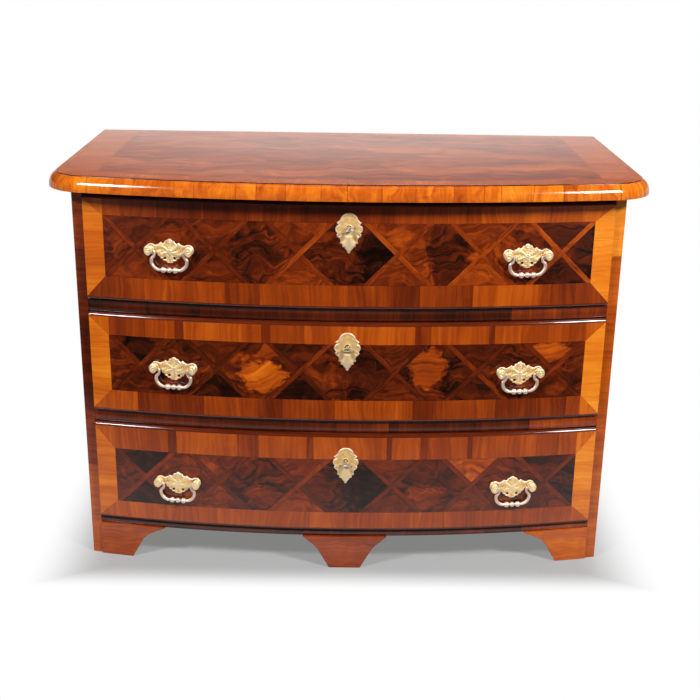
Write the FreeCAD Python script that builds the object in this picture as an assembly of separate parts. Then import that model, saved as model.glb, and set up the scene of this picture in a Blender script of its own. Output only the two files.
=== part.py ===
import FreeCAD, Part
import math
import os

from FreeCAD import Vector

# Bow-fronted chest of three drawers, millimetres. X is right, the front faces -Y, Z is up.
# The origin is on the floor, under the middle of the whole chest, keys included.

# Carcass
CARCASS_WIDTH = 1126.0
CARCASS_DEPTH = 540.0
BOW_RISE = 58.0
SIDE_THICKNESS = 22.0
STILE_DEPTH = 40.0
BACK_THICKNESS = 12.0
BACK_REBATE = 10.0
BACK_BOARDS = 3
RAIL_BULGE = 2.0
TENON_LENGTH = 12.0
TENON_HEIGHT = 9.0
TENON_SHOULDER = 8.0
HOUSING_DEPTH = 6.0
RUNNER_WIDTH = 30.0
RUNNER_THICKNESS = 18.0
BACK_RAIL_DEPTH = 30.0

# Heights of the feet, the rails and the drawer fronts
FOOT_HEIGHT = 76.0
BOTTOM_RAIL_HEIGHT = 16.0
UPPER_DRAWER_HEIGHT = 219.0
MIDDLE_DRAWER_HEIGHT = 218.0
LOWER_DRAWER_HEIGHT = 226.0
UPPER_DIVIDER_HEIGHT = 26.0
LOWER_DIVIDER_HEIGHT = 25.0
TOP_RAIL_HEIGHT = 18.0
DRAWER_GAP = 2.0

# Top with its edge moulding
TOP_SIDE_OVERHANG = 51.0
TOP_FRONT_OVERHANG = 44.0
TOP_BACK_OVERHANG = 5.0
TOP_THICKNESS = 22.0
TOP_CORNER_RADIUS = 95.0
MOULDING_WIDTH = 30.0
MOULDING_HEIGHT = 31.0
MOULDING_FILLET = 3.0
MOULDING_ROUND = 16.0
MOULDING_SWELL = 5.0
MOULDING_QUIRK = 1.5

# Bracket feet: each profile row is the distance along the front and the drop below the foot's top
FOOT_THICKNESS = 20.0
FOOT_PROUD = 4.0
SIDE_FOOT_FLOOR = 70.0
SIDE_FOOT_PROFILE = [(96.0, 29.0), (108.0, 18.0), (130.0, 7.0), (146.0, 0.0)]
CENTRE_FOOT_FLOOR = 34.0
CENTRE_FOOT_PROFILE = [(60.0, 30.0), (68.0, 21.0), (80.0, 11.0), (92.0, 0.0)]
BLOCK_SIZE = 40.0
BLOCK_FLOOR_GAP = 6.0

# Drawers
DRAWER_PROUD = 8.0
DRAWER_END_CLEARANCE = 1.5
DRAWER_RUNNING_CLEARANCE = 0.5
FRONT_THICKNESS = 26.0
FRONT_LIP = 6.0
FRONT_QUIRK = 1.0
DRAWER_SIDE_THICKNESS = 12.0
DRAWER_SIDE_DROP = 8.0
DRAWER_BACK_GAP = 20.0
DRAWER_BACK_DROP = 24.0
DRAWER_BOTTOM_THICKNESS = 8.0
DRAWER_BOTTOM_RISE = 10.0
GROOVE_DEPTH = 6.0
DOVETAIL_LENGTH = 16.0
DOVETAIL_COUNT = 4
DOVETAIL_ROOT = 12.0
DOVETAIL_FLARE = 4.0

# Handles: distance from the drawer's end and height above the drawer's lower edge
HANDLE_INSET = 178.5
UPPER_HANDLE_HEIGHT = 113.0
MIDDLE_HANDLE_HEIGHT = 108.0
LOWER_HANDLE_HEIGHT = 100.0
PLATE_THICKNESS = 2.0
POST_SPACING = 84.0
EAR_RADIUS = 9.8
EAR_NECK_INSET = 8.0
POST_NECK_RADIUS = 5.5
POST_NECK_LENGTH = 10.5
POST_HEAD_RADIUS = 8.5
POST_HEAD_THICKNESS = 4.0
SHANK_RADIUS = 3.0
SHANK_CLEARANCE = 0.2
NUT_SIZE = 12.0
NUT_THICKNESS = 4.0
SHANK_PAST_NUT = 3.0
BAIL_RADIUS = 2.8
BAIL_STANDOFF = 7.0
BAIL_PIN_CLEARANCE = 0.3
BAIL_PIN_PAST_POST = 4.0
BAIL_ARM_INSET = 12.0
BAIL_CORNER = 4.0
BAIL_ARM_DROP = 2.0
BAIL_FLARE = 7.0
BAIL_FLARE_DROP = 16.0
BAIL_BOTTOM_RADIUS = 19.0
BAIL_BEADS = [(-12.5, 6.0), (0.0, 5.0), (12.5, 6.0)]

# Locks and keys: the keyhole's drop below the drawer's upper edge, and depths behind the front's face
UPPER_LOCK_DROP = 48.0
MIDDLE_LOCK_DROP = 49.0
LOWER_LOCK_DROP = 59.0
ESCUTCHEON_THICKNESS = 2.5
LOCK_FRONT_DEPTH = 16.0
LOCK_HALF_WIDTH = 38.0
LOCK_LOWER_GAP = 5.5
LOCK_WALL = 2.5
LOCK_TOP_INSET = 0.5
BOLT_CASE_GAP = 3.5
BOLT_THICKNESS = 6.0
BOLT_EDGE = 4.0
BOLT_BAR = 6.0
BOLT_THROW = 14.0
BOLT_ENTRY = 8.0
BOLT_CLEARANCE = 0.4
MORTISE_CLEARANCE = 2.0
UPPER_KEY_TURN = 30.0
KEY_FULL_TURN = 90.0
KEY_STEM_RADIUS = 3.0
KEY_STEM_OUT = 14.5
KEY_END_GAP = 0.5
KEY_COLLAR_RADIUS = 4.2
KEY_COLLAR_LENGTH = 3.0
KEY_COLLAR_GAP = 6.0
LOCK_PIN_RADIUS = 1.2
LOCK_PIN_LENGTH = 10.0
LOCK_PIN_CLEARANCE = 0.3
KEY_BOW_WIDTH = 27.0
KEY_BOW_LENGTH = 24.0
KEY_BOW_RIM = 6.0
KEY_BOW_THICKNESS = 4.0
KEY_BIT_REACH = 9.5
KEY_BIT_THICKNESS = 3.0
KEY_BIT_CLEARANCE = 0.5
KEY_WINDOW_CLEARANCE = 0.4
KEYHOLE_CLEARANCE = 1.0

# Right halves of the cast outlines, seen from the front: each row is an arc's middle and end,
# or an end alone for a straight edge; the first row is the start on the centre line
EAR_X = POST_SPACING / 2
PLATE_OUTLINE = [
    (0.0, 23.5),
    (6.5, 20.5, 12.3, 14.0),
    (18.5, 15.5),
    (24.0, 11.0, EAR_X - EAR_NECK_INSET, 8.2),
    (EAR_X + EAR_RADIUS, 0.0, EAR_X - EAR_NECK_INSET, -8.2),
    (28.5, -4.6, 25.0, -6.0),
    (23.5, -12.0),
    (20.5, -17.5, 15.5, -19.5),
    (11.0, -25.0, 5.5, -25.5),
    (3.0, -28.2, 0.0, -28.5),
]
ESCUTCHEON_OUTLINE = [
    (0.0, 27.6),
    (13.0, 22.5, 18.4, 12.0),
    (25.0, 9.5),
    (20.5, 5.0),
    (28.6, -3.0, 22.0, -13.0),
    (25.8, -17.0, 21.0, -22.0),
    (18.3, -27.0, 19.0, -31.0),
    (18.0, -36.0, 13.0, -37.0),
    (14.0, -41.5, 8.0, -44.0),
    (5.5, -50.0, 0.0, -52.0),
]

HALF_WIDTH = CARCASS_WIDTH / 2
INNER_HALF = HALF_WIDTH - SIDE_THICKNESS
FRONT_REACH = BOW_RISE + max(TOP_FRONT_OVERHANG, DRAWER_PROUD + KEY_STEM_OUT + KEY_BOW_LENGTH)
FRONT_Y = (FRONT_REACH - CARCASS_DEPTH - TOP_BACK_OVERHANG) / 2
BACK_Y = FRONT_Y + CARCASS_DEPTH
STILE_BACK_Y = FRONT_Y + STILE_DEPTH
BACK_FACE_Y = BACK_Y - BACK_THICKNESS
BOW_RADIUS = (HALF_WIDTH ** 2 + BOW_RISE ** 2) / (2 * BOW_RISE)
BOW_CENTRE_Y = FRONT_Y + BOW_RADIUS - BOW_RISE
FACE_RADIUS = BOW_RADIUS + DRAWER_PROUD
INSIDE_RADIUS = FACE_RADIUS - FRONT_THICKNESS
FACE_Y = BOW_CENTRE_Y - FACE_RADIUS
DRAWER_HALF = INNER_HALF - DRAWER_END_CLEARANCE
DRAWER_BACK_Y = BACK_FACE_Y - DRAWER_BACK_GAP
UP = Vector(0, 0, 1)

# Distance in front of the stiles that clears every bowed face, for solids that are cut to the bow
REACH = 2 * (BOW_RISE + DRAWER_PROUD + FOOT_PROUD + FRONT_THICKNESS)

# Each drawer's own sizes, from the top down
DRAWER_HEIGHTS = [UPPER_DRAWER_HEIGHT, MIDDLE_DRAWER_HEIGHT, LOWER_DRAWER_HEIGHT]
DIVIDER_HEIGHTS = [UPPER_DIVIDER_HEIGHT, LOWER_DIVIDER_HEIGHT]
HANDLE_HEIGHTS = [UPPER_HANDLE_HEIGHT, MIDDLE_HANDLE_HEIGHT, LOWER_HANDLE_HEIGHT]
LOCK_DROPS = [UPPER_LOCK_DROP, MIDDLE_LOCK_DROP, LOWER_LOCK_DROP]
KEY_TURNS = [UPPER_KEY_TURN, 0.0, 0.0]

# Levels, stacked from the floor up: rails and drawer fronts take turns, with a gap between each
bottom_rail_z = (FOOT_HEIGHT, FOOT_HEIGHT + BOTTOM_RAIL_HEIGHT)
drawer_levels = []
divider_levels = []
level = bottom_rail_z[1] + DRAWER_GAP
for index in (2, 1, 0):
    drawer_levels.insert(0, (level, level + DRAWER_HEIGHTS[index]))
    level += DRAWER_HEIGHTS[index] + DRAWER_GAP
    if index > 0:
        divider_levels.insert(0, (level, level + DIVIDER_HEIGHTS[index - 1]))
        level += DIVIDER_HEIGHTS[index - 1] + DRAWER_GAP
top_rail_z = (level, level + TOP_RAIL_HEIGHT)
CARCASS_TOP_Z = top_rail_z[1]
TOP_Z = CARCASS_TOP_Z + TOP_THICKNESS

# Lock sizes that follow from the key and the bolt
bolt_front = LOCK_FRONT_DEPTH + LOCK_WALL + BOLT_CASE_GAP
bolt_back = bolt_front + BOLT_THICKNESS
lock_back = bolt_back + BOLT_CASE_GAP + LOCK_WALL
window_right = KEY_BIT_REACH + KEY_WINDOW_CLEARANCE
window_left = KEY_STEM_RADIUS + KEY_WINDOW_CLEARANCE
bit_top = max(
    KEY_BIT_REACH * math.sin(math.radians(turn)) + KEY_BIT_THICKNESS / 2 * math.cos(math.radians(turn))
    - BOLT_THROW * turn / KEY_FULL_TURN for turn in range(int(KEY_FULL_TURN) + 1))
window_top = KEY_WINDOW_CLEARANCE + max(KEY_STEM_RADIUS, bit_top)
window_drop = BOLT_THROW + KEY_STEM_RADIUS + KEY_WINDOW_CLEARANCE
bolt_half = window_right + BOLT_EDGE
bolt_drop = window_drop + BOLT_BAR
bolt_top_inset = BOLT_THROW - BOLT_ENTRY
lock_drop = bolt_drop + LOCK_LOWER_GAP + LOCK_WALL
mortise_depth = BOLT_ENTRY - DRAWER_GAP + MORTISE_CLEARANCE
keyhole_radius = KEY_STEM_RADIUS + KEYHOLE_CLEARANCE
keyhole_slot = KEY_BIT_THICKNESS + 2 * KEYHOLE_CLEARANCE
keyhole_drop = KEY_BIT_REACH + KEYHOLE_CLEARANCE


def box(x0, x1, y0, y1, z0, z1):
    return Part.makeBox(x1 - x0, y1 - y0, z1 - z0, Vector(x0, y0, z0))


def drum(radius, z0, z1):
    """Upright cylinder about the axis that all the bowed faces share."""
    return Part.makeCylinder(radius, z1 - z0, Vector(0, BOW_CENTRE_Y, z0))


def shell(inner, outer, z0, z1):
    return drum(outer, z0, z1).cut(drum(inner, z0, z1))


def rod(radius, start, end):
    span = end.sub(start)
    return Part.makeCylinder(radius, span.Length, start, span)


def mirrored(shape):
    return shape.mirror(Vector(0, 0, 0), Vector(1, 0, 0))


def joined(first, others):
    return first.fuse(others).removeSplitter()


def polygon(points):
    return Part.Face(Part.makePolygon(points + [points[0]]))


def turned(face, centre, start, sweep):
    """Solid turned from a face in the XZ plane about an upright axis, X being the radius."""
    solid = face.revolve(Vector(0, 0, 0), UP, sweep)
    solid.rotate(Vector(0, 0, 0), UP, start)
    solid.translate(centre)
    return solid


def outline_face(rows):
    """Face in the XZ plane with the given right half and its mirror image."""
    edges = []
    here = rows[0]
    for row in rows[1:]:
        end = row[-2:]
        for side in (1, -1):
            start_point = Vector(side * here[0], 0, here[1])
            end_point = Vector(side * end[0], 0, end[1])
            if len(row) == 4:
                middle = Vector(side * row[0], 0, row[1])
                edges.append(Part.Arc(start_point, middle, end_point).toShape())
            else:
                edges.append(Part.makeLine(start_point, end_point))
        here = end
    return Part.Face(Part.Wire(Part.__sortEdges__(edges)))


def bowed_profile(points):
    """Face in the XZ plane from (radius, height) rows, a row of four being an arc's middle and end."""
    edges = []
    here = points[0]
    for row in points[1:] + [points[0]]:
        start_point = Vector(here[-2], 0, here[-1])
        end_point = Vector(row[-2], 0, row[-1])
        if len(row) == 4:
            middle = Vector(row[0], 0, row[1])
            edges.append(Part.Arc(start_point, middle, end_point).toShape())
        else:
            edges.append(Part.makeLine(start_point, end_point))
        here = row
    return Part.Face(Part.Wire(edges))


def bowed_solid(points, half_width, back_y):
    """Profile turned about the bow's axis, then squared off at both ends and at the back."""
    half_angle = math.degrees(math.asin(half_width / BOW_RADIUS)) + 2.0
    solid = turned(bowed_profile(points), Vector(0, BOW_CENTRE_Y, 0), -90.0 - half_angle, 2 * half_angle)
    return solid.common(box(-half_width, half_width, FRONT_Y - REACH, back_y, 0, TOP_Z))


nodes = {}

# Top board and its moulding, which runs round the front and both sides with rounded corners
top_radius = BOW_RADIUS + TOP_FRONT_OVERHANG
top_half = HALF_WIDTH + TOP_SIDE_OVERHANG
corner_x = top_half - TOP_CORNER_RADIUS
corner_reach = top_radius - TOP_CORNER_RADIUS
corner_y = BOW_CENTRE_Y - math.sqrt(corner_reach ** 2 - corner_x ** 2)
corner_angle = math.degrees(math.asin(corner_x / corner_reach))
top_back_y = BACK_Y + TOP_BACK_OVERHANG
mitre_angle = (corner_angle - 90.0) / 2


def around(centre_x, centre_y, radius, angle):
    turn = math.radians(angle)
    return Vector(centre_x + radius * math.cos(turn), centre_y + radius * math.sin(turn), CARCASS_TOP_Z)


board_half = top_half - MOULDING_WIDTH
board_corner = TOP_CORNER_RADIUS - MOULDING_WIDTH
front_end = around(corner_x, corner_y, board_corner, corner_angle - 90.0)
corner_middle = around(corner_x, corner_y, board_corner, mitre_angle)
side_start = Vector(board_half, corner_y, CARCASS_TOP_Z)
back_corner = Vector(board_half, top_back_y, CARCASS_TOP_Z)
front_middle = Vector(0, BOW_CENTRE_Y - top_radius + MOULDING_WIDTH, CARCASS_TOP_Z)


def flip(point):
    return Vector(-point.x, point.y, point.z)


board_edges = [
    Part.Arc(flip(front_end), front_middle, front_end).toShape(),
    Part.Arc(front_end, corner_middle, side_start).toShape(),
    Part.makeLine(side_start, back_corner),
    Part.makeLine(back_corner, flip(back_corner)),
    Part.makeLine(flip(back_corner), flip(side_start)),
    Part.Arc(flip(side_start), flip(corner_middle), flip(front_end)).toShape(),
]
nodes["top_board"] = Part.Face(Part.Wire(board_edges)).extrude(Vector(0, 0, TOP_THICKNESS))


def moulding_profile(inner):
    low = TOP_Z - MOULDING_HEIGHT
    outer = inner + MOULDING_WIDTH
    arris = outer - MOULDING_ROUND
    rise = MOULDING_HEIGHT - MOULDING_FILLET - MOULDING_QUIRK
    chord = math.hypot(MOULDING_ROUND, rise)
    swell_x = (outer + arris) / 2 + MOULDING_SWELL * rise / chord
    swell_z = low + MOULDING_FILLET + rise / 2 + MOULDING_SWELL * MOULDING_ROUND / chord
    return bowed_profile([
        (inner, low),
        (outer, low),
        (outer, low + MOULDING_FILLET),
        (swell_x, swell_z, arris, TOP_Z - MOULDING_QUIRK),
        (arris, TOP_Z),
        (inner, TOP_Z),
    ])


front_run = turned(moulding_profile(top_radius - MOULDING_WIDTH), Vector(0, BOW_CENTRE_Y, 0),
                   -90.0 - corner_angle, 2 * corner_angle)
corner_face = moulding_profile(board_corner)
corner_centre = Vector(corner_x, corner_y, 0)
corner_front = turned(corner_face, corner_centre, corner_angle - 90.0, mitre_angle - corner_angle + 90.0)
corner_side = turned(corner_face, corner_centre, mitre_angle, -mitre_angle)
side_face = moulding_profile(board_half)
side_face.translate(Vector(0, corner_y, 0))
side_run = side_face.extrude(Vector(0, top_back_y - corner_y, 0))
nodes["top_moulding_front"] = joined(front_run, [corner_front, mirrored(corner_front)])
nodes["top_moulding_right"] = joined(side_run, [corner_side])
nodes["top_moulding_left"] = mirrored(nodes["top_moulding_right"])


# Rails across the front, tenoned into the stiles, with a slightly rounded face
def rail(rail_z):
    low, high = rail_z
    middle = (low + high) / 2
    inner = BOW_RADIUS - BOW_RISE - 2 * STILE_DEPTH
    points = [
        (inner, low),
        (BOW_RADIUS - RAIL_BULGE, low),
        (BOW_RADIUS, middle, BOW_RADIUS - RAIL_BULGE, high),
        (inner, high),
    ]
    body = bowed_solid(points, INNER_HALF, STILE_BACK_Y)
    tenon = box(INNER_HALF, INNER_HALF + TENON_LENGTH, FRONT_Y + TENON_SHOULDER, STILE_BACK_Y - TENON_SHOULDER,
                middle - TENON_HEIGHT / 2, middle + TENON_HEIGHT / 2)
    return joined(body, [tenon, mirrored(tenon)])


def bolt_mortise(rail_z):
    """Hole in a rail's under side for the bolt of the drawer below it."""
    return box(-bolt_half - MORTISE_CLEARANCE, bolt_half + MORTISE_CLEARANCE,
               FACE_Y + bolt_front - MORTISE_CLEARANCE, FACE_Y + bolt_back + MORTISE_CLEARANCE,
               rail_z[0], rail_z[0] + mortise_depth)


nodes["top_rail"] = rail(top_rail_z).cut(bolt_mortise(top_rail_z))
nodes["divider_rail_upper"] = rail(divider_levels[0]).cut(bolt_mortise(divider_levels[0]))
nodes["divider_rail_lower"] = rail(divider_levels[1]).cut(bolt_mortise(divider_levels[1]))
nodes["bottom_rail"] = rail(bottom_rail_z)
front_rails = [nodes[name] for name in ("top_rail", "divider_rail_upper", "divider_rail_lower", "bottom_rail")]

# Stiles at the front corners, mortised for the rails
stile = box(INNER_HALF, HALF_WIDTH, FRONT_Y - REACH, STILE_BACK_Y, 0, CARCASS_TOP_Z)
stile = stile.common(drum(BOW_RADIUS, 0, CARCASS_TOP_Z)).cut(front_rails)
nodes["stile_right"] = stile
nodes["stile_left"] = mirrored(stile)

# Bottom board, back boards, rail behind, and the runners that carry the two upper drawers
nodes["bottom_board"] = box(-INNER_HALF - HOUSING_DEPTH, INNER_HALF + HOUSING_DEPTH,
                            STILE_BACK_Y, BACK_FACE_Y, FOOT_HEIGHT,
                            drawer_levels[2][0] - DRAWER_RUNNING_CLEARANCE)
board_height = (CARCASS_TOP_Z - FOOT_HEIGHT) / BACK_BOARDS
back_boards = []
for index in range(BACK_BOARDS):
    low = FOOT_HEIGHT + index * board_height
    back_boards.append(box(-INNER_HALF - BACK_REBATE, INNER_HALF + BACK_REBATE, BACK_FACE_Y, BACK_Y,
                           low, low + board_height))
nodes["back_panel"] = Part.Compound(back_boards)
nodes["back_rail"] = box(-INNER_HALF, INNER_HALF, BACK_FACE_Y - BACK_RAIL_DEPTH, BACK_FACE_Y,
                         top_rail_z[0], top_rail_z[1])
runner_pairs = []
for drawer_level in drawer_levels[:2]:
    top = drawer_level[0] - DRAWER_RUNNING_CLEARANCE
    runner = box(INNER_HALF - RUNNER_WIDTH, INNER_HALF + HOUSING_DEPTH, STILE_BACK_Y, BACK_FACE_Y,
                 top - RUNNER_THICKNESS, top)
    runner_pairs.append(Part.Compound([mirrored(runner), runner]))
nodes["runners_upper"], nodes["runners_lower"] = runner_pairs

# Sides, down to the floor, with a foot cut out at each end of the lower edge
side_foot = [(SIDE_FOOT_FLOOR, 0.0)] + [(out, FOOT_HEIGHT - drop) for out, drop in SIDE_FOOT_PROFILE]
centre_foot = [(CENTRE_FOOT_FLOOR, 0.0)] + [(out, FOOT_HEIGHT - drop) for out, drop in CENTRE_FOOT_PROFILE]
cut_points = []
for out, height in side_foot:
    cut_points.append(Vector(0, FRONT_Y + SIDE_THICKNESS + out, height))
for out, height in reversed(side_foot):
    cut_points.append(Vector(0, BACK_Y - SIDE_THICKNESS - out, height))
foot_gap = polygon(cut_points).extrude(Vector(CARCASS_WIDTH, 0, 0))
side = box(INNER_HALF, HALF_WIDTH, STILE_BACK_Y, BACK_Y, 0, CARCASS_TOP_Z)
side = side.cut([foot_gap, nodes["bottom_board"]] + back_boards + runner_pairs)
nodes["side_right"] = side
nodes["side_left"] = mirrored(side)

# Bracket feet along the front, and the glued blocks behind them
foot_shell = shell(BOW_RADIUS + FOOT_PROUD - FOOT_THICKNESS, BOW_RADIUS + FOOT_PROUD, 0, FOOT_HEIGHT)
side_foot_points = [Vector(INNER_HALF, FRONT_Y - REACH, 0)]
for out, height in side_foot:
    side_foot_points.append(Vector(INNER_HALF - out, FRONT_Y - REACH, height))
side_foot_points.append(Vector(INNER_HALF, FRONT_Y - REACH, FOOT_HEIGHT))
bracket = polygon(side_foot_points).extrude(Vector(0, 2 * REACH, 0)).common(foot_shell)
nodes["foot_right"] = bracket
nodes["foot_left"] = mirrored(bracket)
centre_points = []
for out, height in centre_foot:
    centre_points.append(Vector(out, FRONT_Y - REACH, height))
for out, height in reversed(centre_foot):
    centre_points.append(Vector(-out, FRONT_Y - REACH, height))
nodes["foot_centre"] = polygon(centre_points).extrude(Vector(0, 2 * REACH, 0)).common(foot_shell)
block_drum = drum(BOW_RADIUS + FOOT_PROUD - FOOT_THICKNESS, 0, FOOT_HEIGHT)
front_block = box(INNER_HALF - BLOCK_SIZE, INNER_HALF, FRONT_Y - REACH, STILE_BACK_Y + BLOCK_SIZE / 2,
                  BLOCK_FLOOR_GAP, FOOT_HEIGHT).common(block_drum)
centre_block = box(-BLOCK_SIZE / 2, BLOCK_SIZE / 2, FRONT_Y - REACH, STILE_BACK_Y,
                   BLOCK_FLOOR_GAP, FOOT_HEIGHT).common(block_drum)
rear_block = box(INNER_HALF - BLOCK_SIZE, INNER_HALF, BACK_FACE_Y - BLOCK_SIZE, BACK_FACE_Y,
                 BLOCK_FLOOR_GAP, FOOT_HEIGHT)
nodes["foot_blocks"] = Part.Compound([mirrored(front_block), centre_block, front_block,
                                      mirrored(rear_block), rear_block])

# Handle pieces in their own frame: X along the face, -Y outward from it, Z up
handle_x = DRAWER_HALF - HANDLE_INSET
handle_turn = math.degrees(math.asin(handle_x / FACE_RADIUS))
handle_y = BOW_CENTRE_Y - math.sqrt(FACE_RADIUS ** 2 - handle_x ** 2)
plate_top = PLATE_THICKNESS + POST_NECK_LENGTH
pivot_y = -PLATE_THICKNESS - BAIL_STANDOFF
pin_end = POST_SPACING / 2 + BAIL_PIN_PAST_POST


def at_handle(shape, side, height):
    placed = shape.copy()
    placed.rotate(Vector(0, 0, 0), UP, side * handle_turn)
    placed.translate(Vector(side * handle_x, handle_y, height))
    return placed


def outline_blank(rows):
    """Outline drawn out both ways from the face, to be cut to the plate's thickness."""
    face = outline_face(rows)
    face.translate(Vector(0, FRONT_THICKNESS, 0))
    return face.extrude(Vector(0, -2 * FRONT_THICKNESS, 0))


plate_blank = outline_blank(PLATE_OUTLINE)


def post_pieces(u):
    """Post with its shank through the drawer front, and the nut on the inside."""
    inner = -1 if u > 0 else 1
    neck = rod(POST_NECK_RADIUS, Vector(u, 0, 0), Vector(u, -plate_top, 0))
    head = rod(POST_HEAD_RADIUS, Vector(u, -plate_top, 0), Vector(u, -plate_top - POST_HEAD_THICKNESS, 0))
    hole_end = BAIL_PIN_PAST_POST + 2 * BAIL_PIN_CLEARANCE
    hole = rod(BAIL_RADIUS + BAIL_PIN_CLEARANCE, Vector(u + inner * 2 * POST_NECK_RADIUS, pivot_y, 0),
               Vector(u - inner * hole_end, pivot_y, 0))
    shank_end = FRONT_THICKNESS + NUT_THICKNESS + SHANK_PAST_NUT
    shank = rod(SHANK_RADIUS, Vector(u, -PLATE_THICKNESS, 0), Vector(u, shank_end, 0))
    nut = box(u - NUT_SIZE / 2, u + NUT_SIZE / 2, FRONT_THICKNESS / 2, FRONT_THICKNESS + NUT_THICKNESS,
              -NUT_SIZE / 2, NUT_SIZE / 2)
    return neck, head, hole, shank, nut


def bend(centre, start, turn):
    """Length of the bail's round bar, curved about an axis along Y."""
    out = start.sub(centre)
    ring = Part.makeCircle(BAIL_RADIUS, start, Vector(out.z, 0, -out.x))
    return Part.Face(Part.Wire(ring)).revolve(centre, Vector(0, 1, 0), turn)


def at_pivot(x, z):
    return Vector(x, pivot_y, z)


# Right half of the bail: pin into the post, arm that flares outward, rounded corner and straight grip
arm_x = POST_SPACING / 2 - BAIL_ARM_INSET
arm_z = -BAIL_CORNER - BAIL_ARM_DROP
wide_x = arm_x + BAIL_FLARE
wide_z = arm_z - BAIL_FLARE_DROP
flare_radius = (BAIL_FLARE ** 2 + BAIL_FLARE_DROP ** 2) / (4 * BAIL_FLARE)
flare_turn = math.degrees(math.asin(BAIL_FLARE_DROP / (2 * flare_radius)))
bottom_x = wide_x - BAIL_BOTTOM_RADIUS
grip_z = wide_z - BAIL_BOTTOM_RADIUS
bail_half = joined(rod(BAIL_RADIUS, at_pivot(pin_end, 0), at_pivot(arm_x + BAIL_CORNER, 0)), [
    bend(at_pivot(arm_x + BAIL_CORNER, -BAIL_CORNER), at_pivot(arm_x + BAIL_CORNER, 0), -90.0),
    rod(BAIL_RADIUS, at_pivot(arm_x, -BAIL_CORNER), at_pivot(arm_x, arm_z)),
    bend(at_pivot(arm_x + flare_radius, arm_z), at_pivot(arm_x, arm_z), -flare_turn),
    bend(at_pivot(wide_x - flare_radius, wide_z), at_pivot(wide_x, wide_z), -flare_turn),
    bend(at_pivot(bottom_x, wide_z), at_pivot(wide_x, wide_z), 90.0),
    rod(BAIL_RADIUS, at_pivot(bottom_x, grip_z), at_pivot(0, grip_z)),
])
beads = [Part.makeSphere(radius, at_pivot(x, grip_z), Vector(1, 0, 0)) for x, radius in BAIL_BEADS]
bail = joined(bail_half, [mirrored(bail_half)] + beads)

# Drawers from the top down, each with its lock, key, escutcheon and two handles
keyhole_end = bolt_front - BOLT_CASE_GAP / 2
keyhole_blank = joined(
    rod(keyhole_radius, Vector(0, -FRONT_THICKNESS, 0), Vector(0, keyhole_end, 0)),
    [box(-keyhole_slot / 2, keyhole_slot / 2, -FRONT_THICKNESS, keyhole_end, -keyhole_drop, 0)])
escutcheon_blank = outline_blank(ESCUTCHEON_OUTLINE).cut(keyhole_blank)


def bow_disc(width, length, middle_y):
    centre = Vector(0, middle_y, -KEY_BOW_THICKNESS / 2)
    ring = Part.Wire(Part.Ellipse(centre, width / 2, length / 2).toShape())
    return Part.Face(ring).extrude(Vector(0, 0, KEY_BOW_THICKNESS))


def key_shape(turn):
    """Pipe key with its bit and bow to the right, then turned so that the right end rises."""
    stem_end = lock_back - LOCK_WALL - KEY_END_GAP
    stem = rod(KEY_STEM_RADIUS, Vector(0, stem_end, 0), Vector(0, -KEY_STEM_OUT - KEY_BOW_RIM / 2, 0))
    pipe = rod(LOCK_PIN_RADIUS + LOCK_PIN_CLEARANCE, Vector(0, stem_end, 0),
               Vector(0, stem_end - LOCK_PIN_LENGTH, 0))
    collar_y = -ESCUTCHEON_THICKNESS - KEY_COLLAR_GAP
    collar = rod(KEY_COLLAR_RADIUS, Vector(0, collar_y, 0), Vector(0, collar_y - KEY_COLLAR_LENGTH, 0))
    bow_y = -KEY_STEM_OUT - KEY_BOW_LENGTH / 2
    bow_hole = bow_disc(KEY_BOW_WIDTH - 2 * KEY_BOW_RIM, KEY_BOW_LENGTH - 2 * KEY_BOW_RIM, bow_y)
    bow = bow_disc(KEY_BOW_WIDTH, KEY_BOW_LENGTH, bow_y).cut(bow_hole)
    bit = box(0, KEY_BIT_REACH, bolt_front - KEY_BIT_CLEARANCE, bolt_back + KEY_BIT_CLEARANCE,
              -KEY_BIT_THICKNESS / 2, KEY_BIT_THICKNESS / 2)
    key = joined(stem, [collar, bow, bit]).cut(pipe)
    key.rotate(Vector(0, 0, 0), Vector(0, -1, 0), turn)
    return key


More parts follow.
